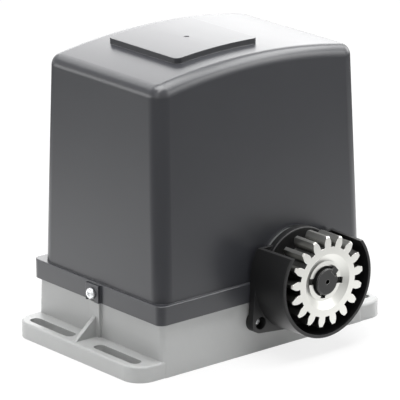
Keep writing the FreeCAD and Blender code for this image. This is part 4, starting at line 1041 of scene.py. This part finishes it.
    def _processor(self) -> None:
        """Sets gull-wing pins along both long sides of the processor."""
        low, high = self.shop.islands("processor")[0]
        reach, wide, tall = self.pin_mm
        sheet, edge = self.pin_sheet_mm, 0.08
        count = int((high.z - low.z) / MM / self.pin_pitch_mm) - 1
        first = (low.z + high.z) / 2 / MM - (count - 1) * self.pin_pitch_mm / 2
        out = reach / 2 - self.pin_root_mm
        pins = [
            (Vector((x, low.y / MM, first + pin * self.pin_pitch_mm)) * MM, Axis.BACK.vector)
            for x in (low.x / MM - out, high.x / MM + out) for pin in range(count)
        ]
        shape = joined([
            rounded_box((-reach / 2, -wide / 2, 0.0), (reach / 2, wide / 2, sheet), edge),
            rounded_box((-sheet, -wide / 2, 0.0), (sheet, wide / 2, tall), edge),
        ], "processor_pin")
        self.shop.repeat("processor_pins", shape, pins, "screw_zinc")

    def _chips(self) -> None:
        """Lays small chips over the free fields of the board, each between two joints."""
        face = self.shop.islands("control_board")[0][1].y
        long, wide, tall = self.chip_mm
        pitch_x, pitch_z = self.chip_pitch_mm
        chips, joints = [], []
        for left, right, bottom, top in self.chip_fields_mm:
            for column in range(int((right - left) / pitch_x) + 1):
                for row in range(int((top - bottom) / pitch_z) + 1):
                    # Every fourth place stays free, so that the rows don't look like a grid.
                    if (column * 7 + row * 5) % 4 == 0:
                        continue
                    x, z = left + column * pitch_x, (bottom + row * pitch_z) * MM
                    chips.append((Vector((x * MM, face, z)), Axis.BACK.vector))
                    joints.extend(
                        (Vector(((x + way) * MM, face, z)), Axis.BACK.vector)
                        for way in (-long * self.joint_share, long * self.joint_share))
        chip = rounded_box((-long / 2, -wide / 2, 0.0), (long / 2, wide / 2, tall), 0.12)
        self.shop.repeat("board_chips", mesh_from(chip, "chip"), chips, "board_parts")
        radius, high = (size * MM for size in self.joint_mm)
        drop = lathe([(radius * out, high * up) for out, up in self.joint_outline], 10)
        self.shop.repeat("solder_joints", mesh_from(drop, "joint"), joints, "screw_zinc")


@dataclass(frozen=True)
class PowerParts:
    """What stands on the gearbox deck: run capacitor, transformer pins and sensor."""

    shop: Workshop
    rim_mm: float = 1.4
    lid_sink_mm: float = 1.6
    # Width, thickness and height of a tag, and how far apart tags stand in x and y.
    tag_mm: Three = (6.3, 0.8, 8.0)
    tag_apart_mm: Two = (11.0, 4.4)
    pin_count: int = 5
    pin_radius_mm: float = 0.7
    pin_height_mm: float = 5.0
    collar_share: float = 2.2
    sensor_edge_mm: float = 1.3
    sensor_screw_in_mm: float = 4.5
    sensor_well_mm: Two = (2.6, 2.0)

    def build(self) -> None:
        """Builds the capacitor, the transformer's pins and the sensor."""
        self._capacitor()
        self._transformer_pins()
        self._sensor()

    def _capacitor(self) -> None:
        """Makes the can with a rolled rim and a sunk lid, and its two pairs of tags."""
        low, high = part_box("run_capacitor")
        centre = (low + high) / 2
        radius, tall = (high.x - low.x) / 2, high.z - low.z
        rim, sink = self.rim_mm * MM, self.lid_sink_mm * MM
        body = lathe([
            (0.0, 0.0), (radius - rim, 0.0), (radius - rim * 0.3, rim * 0.3), (radius, rim),
            (radius, tall - rim), (radius - rim * 0.3, tall - rim * 0.3), (radius - rim, tall),
            (radius - rim * 1.7, tall - rim * 0.3), (radius - rim * 2, tall - sink),
            (0.0, tall - sink)], 64)
        bmesh.ops.translate(body, verts=body.verts, vec=(centre.x, centre.y, low.z))
        self.shop.hand_in(mesh_from(body, "run_capacitor_can"), "can_plastic", ["run_capacitor"])
        wide, thick, long = self.tag_mm
        tag = rounded_box((-wide / 2, -thick / 2, -0.5), (wide / 2, thick / 2, long), 0.3)
        half_x, half_y = (apart / 2 * MM for apart in self.tag_apart_mm)
        places = [
            (Vector((centre.x + x, centre.y + y, high.z - sink)), Axis.UP.vector)
            for x in (-half_x, half_x) for y in (-half_y, half_y)
        ]
        self.shop.repeat("capacitor_tags", mesh_from(tag, "tag"), places, "screw_zinc")

    def _transformer_pins(self) -> None:
        """Sets a row of tinned pins on the front of the transformer's coil."""
        low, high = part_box("transformer_coil")
        core_low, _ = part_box("transformer_core")
        step = (high.x - low.x) / (self.pin_count + 1)
        radius, tall = self.pin_radius_mm * MM, self.pin_height_mm * MM
        collar = radius * self.collar_share
        pin = lathe([
            (0.0, -0.5 * MM), (collar, -0.5 * MM), (collar, 0.6 * MM), (radius, 0.9 * MM),
            (radius, tall * 0.9), (radius * 0.6, tall), (0.0, tall)], 16)
        places = [
            (Vector((low.x + step * (i + 1), (low.y + core_low.y) / 2, high.z)),
             Axis.UP.vector)
            for i in range(self.pin_count)
        ]
        self.shop.repeat("transformer_pins", mesh_from(pin, "tinned_pin"), places, "screw_zinc")

    def _sensor(self) -> None:
        """Makes the end-position sensor as a potted block with a screw sunk in each end."""
        low, high = (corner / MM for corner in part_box("limit_sensor"))
        inset, (radius, depth) = self.sensor_screw_in_mm, self.sensor_well_mm
        block = rounded_box(low, high, self.sensor_edge_mm, 3)
        seats = [
            Vector((x, low.y + depth, (low.z + high.z) / 2)) * MM
            for x in (low.x + inset, high.x - inset)
        ]
        wells = [screw_well(radius, 4.0, seat, Axis.FRONT) for seat in seats]
        body = carve(mesh_from(block, "sensor"), joined(wells, "sensor_wells"), "sensor_block")
        self.shop.hand_in(body, "board_parts", ["limit_sensor"])
        screw = CrossHeadScrew(1.2, 2.3, 1.4, 1.0, 0.8)
        self.shop.repeat(
            "sensor_screws", screw.mesh("sensor_screw"),
            [(seat, Axis.FRONT.vector) for seat in seats], "screw_zinc", turn_spread=0.8,
            seed=31)


@dataclass(frozen=True)
class Lamp:
    """A soft box of the studio."""

    name: str
    place_m: Three
    side_m: Two
    watts: float
    only_gloss: bool = False
    aim_m: Three = (0.0, 0.0, 0.13)

    def build(self) -> None:
        """Puts the lamp up, facing what it lights."""
        data = bpy.data.lights.new(self.name, "AREA")
        data.shape = "RECTANGLE"
        data.size, data.size_y = self.side_m
        data.energy = self.watts
        lamp = in_scene(self.name, data)
        lamp.location = self.place_m
        away = Vector(self.place_m) - Vector(self.aim_m)
        lamp.rotation_euler = away.to_track_quat("Z", "Y").to_euler()
        lamp.visible_camera = False
        lamp.visible_diffuse = not self.only_gloss


@dataclass(frozen=True)
class PhotoCamera:
    """The camera that the photograph was taken with, fitted to its edges."""

    focal_px: float = 3689.982
    image_px: float = 400.0
    sensor_mm: float = 36.0
    azimuth_deg: float = -39.369
    elevation_deg: float = 17.599
    roll_deg: float = -0.437
    distance_mm: float = 2994.81
    shift_mm: Two = (0.028, 31.548)
    target_mm: Three = (0.0, 0.0, 140.0)

    def build(self) -> None:
        """Puts the camera where the photograph was taken from."""
        azimuth, elevation, roll = (
            math.radians(a) for a in (self.azimuth_deg, self.elevation_deg, self.roll_deg)
        )
        back = Vector((
            math.sin(azimuth) * math.cos(elevation), -math.cos(azimuth) * math.cos(elevation),
            math.sin(elevation),
        ))
        level = Vector((math.cos(azimuth), math.sin(azimuth), 0.0))
        upright = back.cross(level)
        right = level * math.cos(roll) + upright * math.sin(roll)
        up = upright * math.cos(roll) - level * math.sin(roll)
        place = (
            Vector(self.target_mm) + back * self.distance_mm
            - right * self.shift_mm[0] - up * self.shift_mm[1]
        ) * MM
        data = bpy.data.cameras.new("photo_camera")
        data.sensor_width = self.sensor_mm
        data.lens = self.sensor_mm * self.focal_px / self.image_px
        data.clip_end = 50.0
        camera = in_scene("photo_camera", data)
        camera.matrix_world = (
            Matrix.Translation(place) @ Matrix((right, up, back)).transposed().to_4x4()
        )
        bpy.context.scene.camera = camera


@dataclass(frozen=True)
class Studio:
    """Camera, floor, sky and lamps."""

    camera: PhotoCamera = PhotoCamera()
    floor_side_m: float = 12.0
    # Share of the floor's light that the camera sees near the object, and where it fades.
    floor_lit_share: float = 0.2
    shadow_reach_m: Two = (0.55, 1.3)
    # The pool of light that gloss shows on the floor: middle, turn, half sides, fade, glow.
    pool_m: Three = (0.085, 0.050, 0.0)
    pool_turn_deg: float = -39.4
    pool_half_m: Three = (1.0, 0.4, 1.0)
    pool_fade: Two = (0.12, 1.05)
    pool_glow: float = 2.5
    far_glow: float = 0.3
    horizon_m: Two = (1.6, 3.4)
    sky_strength: float = 0.14
    sky_mirrored: float = 1.0
    lamps: tuple[Lamp, ...] = (
        Lamp("overhead_box", (0.0, 0.0, 1.5), (1.2, 1.2), 36.0),
        Lamp("back_box", (1.35, 1.75, 0.83), (1.6, 1.15), 16.5),
        Lamp("right_box", (1.6, 0.0, 0.7), (1.0, 0.9), 10.0),
        Lamp("right_front_box", (1.2, -1.4, 0.8), (1.0, 0.9), 6.0),
        Lamp("left_box", (-1.5, -0.8, 0.8), (1.0, 1.0), 3.0),
        Lamp("high_back_box", (-0.1, 1.27, 1.3), (1.3, 0.45), 5.0),
        Lamp("corner_spot", (-0.78, -0.57, 1.4), (0.3, 0.3), 3.0),
        Lamp("low_left_strip", (-1.3, 0.9, 0.22), (1.2, 0.35), 4.5),
        Lamp("upper_right_strip", (0.95, -0.25, 1.3), (1.3, 0.5), 16.0, only_gloss=True),
        Lamp("front_right_strip", (0.96, -1.04, 0.93), (0.7, 0.4), 3.5, only_gloss=True),
    )

    def build(self) -> None:
        """Builds the whole studio."""
        self.camera.build()
        self._floor()
        self._sky()
        for lamp in self.lamps:
            lamp.build()
        bpy.context.scene.view_settings.view_transform = "Standard"

    @staticmethod
    def _rays(
        tree: NodeTree,
    ) -> tuple[NodeSocket, NodeSocket]:
        """Tells apart the rays that reach a surface.

        Args:
            tree: The tree that gets the nodes.

        Returns:
            The socket that is 1 for the camera's rays, and the one that is 1 for rays sent on
            by gloss or by something clear.
        """
        rays = add_node(tree, "ShaderNodeLightPath").outputs
        mirrored = outlet(
            tree, "ShaderNodeMath", 0, None,
            {0: rays["Is Glossy Ray"], 1: rays["Is Transmission Ray"]}, operation="MAXIMUM")
        return rays["Is Camera Ray"], mirrored

    def _floor(self) -> None:
        """Lays a pale floor that shows white and keeps a soft shadow.

        Gloss shows a long pool of light across it, which fades towards its edges, and far off
        the floor turns as bright as the sky.
        """
        half = self.floor_side_m / 2
        mesh = bpy.data.meshes.new("studio_floor")
        corners = [(-half, -half, 0.0), (half, -half, 0.0), (half, half, 0.0), (-half, half, 0.0)]
        mesh.from_pydata(corners, [], [(0, 1, 2, 3)])
        material = bpy.data.materials.new("white_studio_floor")
        tree = empty_tree(material)
        from_camera, mirrored = self._rays(tree)
        matt = outlet(tree, "ShaderNodeBsdfDiffuse", 0, {"Color": linear("#EDEDED")})
        white = outlet(
            tree, "ShaderNodeEmission", 0, {"Color": linear("#FFFFFF"), "Strength": 1.0})
        place = outlet(tree, "ShaderNodeTexCoord", "Object")
        away = length_of(tree, place)
        share = ramp(
            tree, away, self.shadow_reach_m, (1.0 - self.floor_lit_share, 1.0), "SMOOTHSTEP")
        seen = outlet(
            tree, "ShaderNodeMath", 0, None, {0: from_camera, 1: share}, operation="MULTIPLY")
        plain = outlet(tree, "ShaderNodeMixShader", 0, None, {0: seen, 1: matt, 2: white})
        in_pool = outlet(
            tree, "ShaderNodeMapping", "Vector",
            {"Location": self.pool_m, "Scale": self.pool_half_m,
             "Rotation": (0.0, 0.0, math.radians(self.pool_turn_deg))},
            {"Vector": place}, vector_type="TEXTURE")
        glow = ramp(
            tree, length_of(tree, in_pool), self.pool_fade, (self.pool_glow, self.far_glow))
        horizon = ramp(tree, away, self.horizon_m, (self.far_glow, self.sky_mirrored))
        brighter = outlet(
            tree, "ShaderNodeMath", 0, None, {0: glow, 1: horizon}, operation="MAXIMUM")
        pool = outlet(
            tree, "ShaderNodeEmission", 0, {"Color": linear("#FFFFFF")},
            {"Strength": brighter})
        mixed = outlet(tree, "ShaderNodeMixShader", 0, None, {0: mirrored, 1: plain, 2: pool})
        add_node(tree, "ShaderNodeOutputMaterial", None, {"Surface": mixed})
        mesh.materials.append(material)
        in_scene("studio_floor", mesh)

    def _sky(self) -> None:
        """Surrounds the studio with an even pale light, white where it is seen."""
        world = bpy.data.worlds.new("studio_sky")
        tree = empty_tree(world)
        from_camera, mirrored = self._rays(tree)
        lit = ramp(tree, mirrored, (0.0, 1.0), (self.sky_strength, self.sky_mirrored))
        strength = outlet(
            tree, "ShaderNodeMath", 0, None, {0: lit, 1: from_camera}, operation="MAXIMUM")
        glow = outlet(
            tree, "ShaderNodeBackground", 0, {"Color": linear("#FFFFFF")},
            {"Strength": strength})
        add_node(tree, "ShaderNodeOutputWorld", None, {"Surface": glow})
        bpy.context.scene.world = world


def main() -> None:
    """Builds everything in order."""
    logging.basicConfig(level=logging.INFO, format="%(name)s %(message)s")
    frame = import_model()
    Studio().build()
    shop = Workshop(frame)
    shop.dress()
    for builder in (Fixings(shop), ControlBoard(shop), PowerParts(shop)):
        builder.build()


if __name__ == "__main__":
    main()
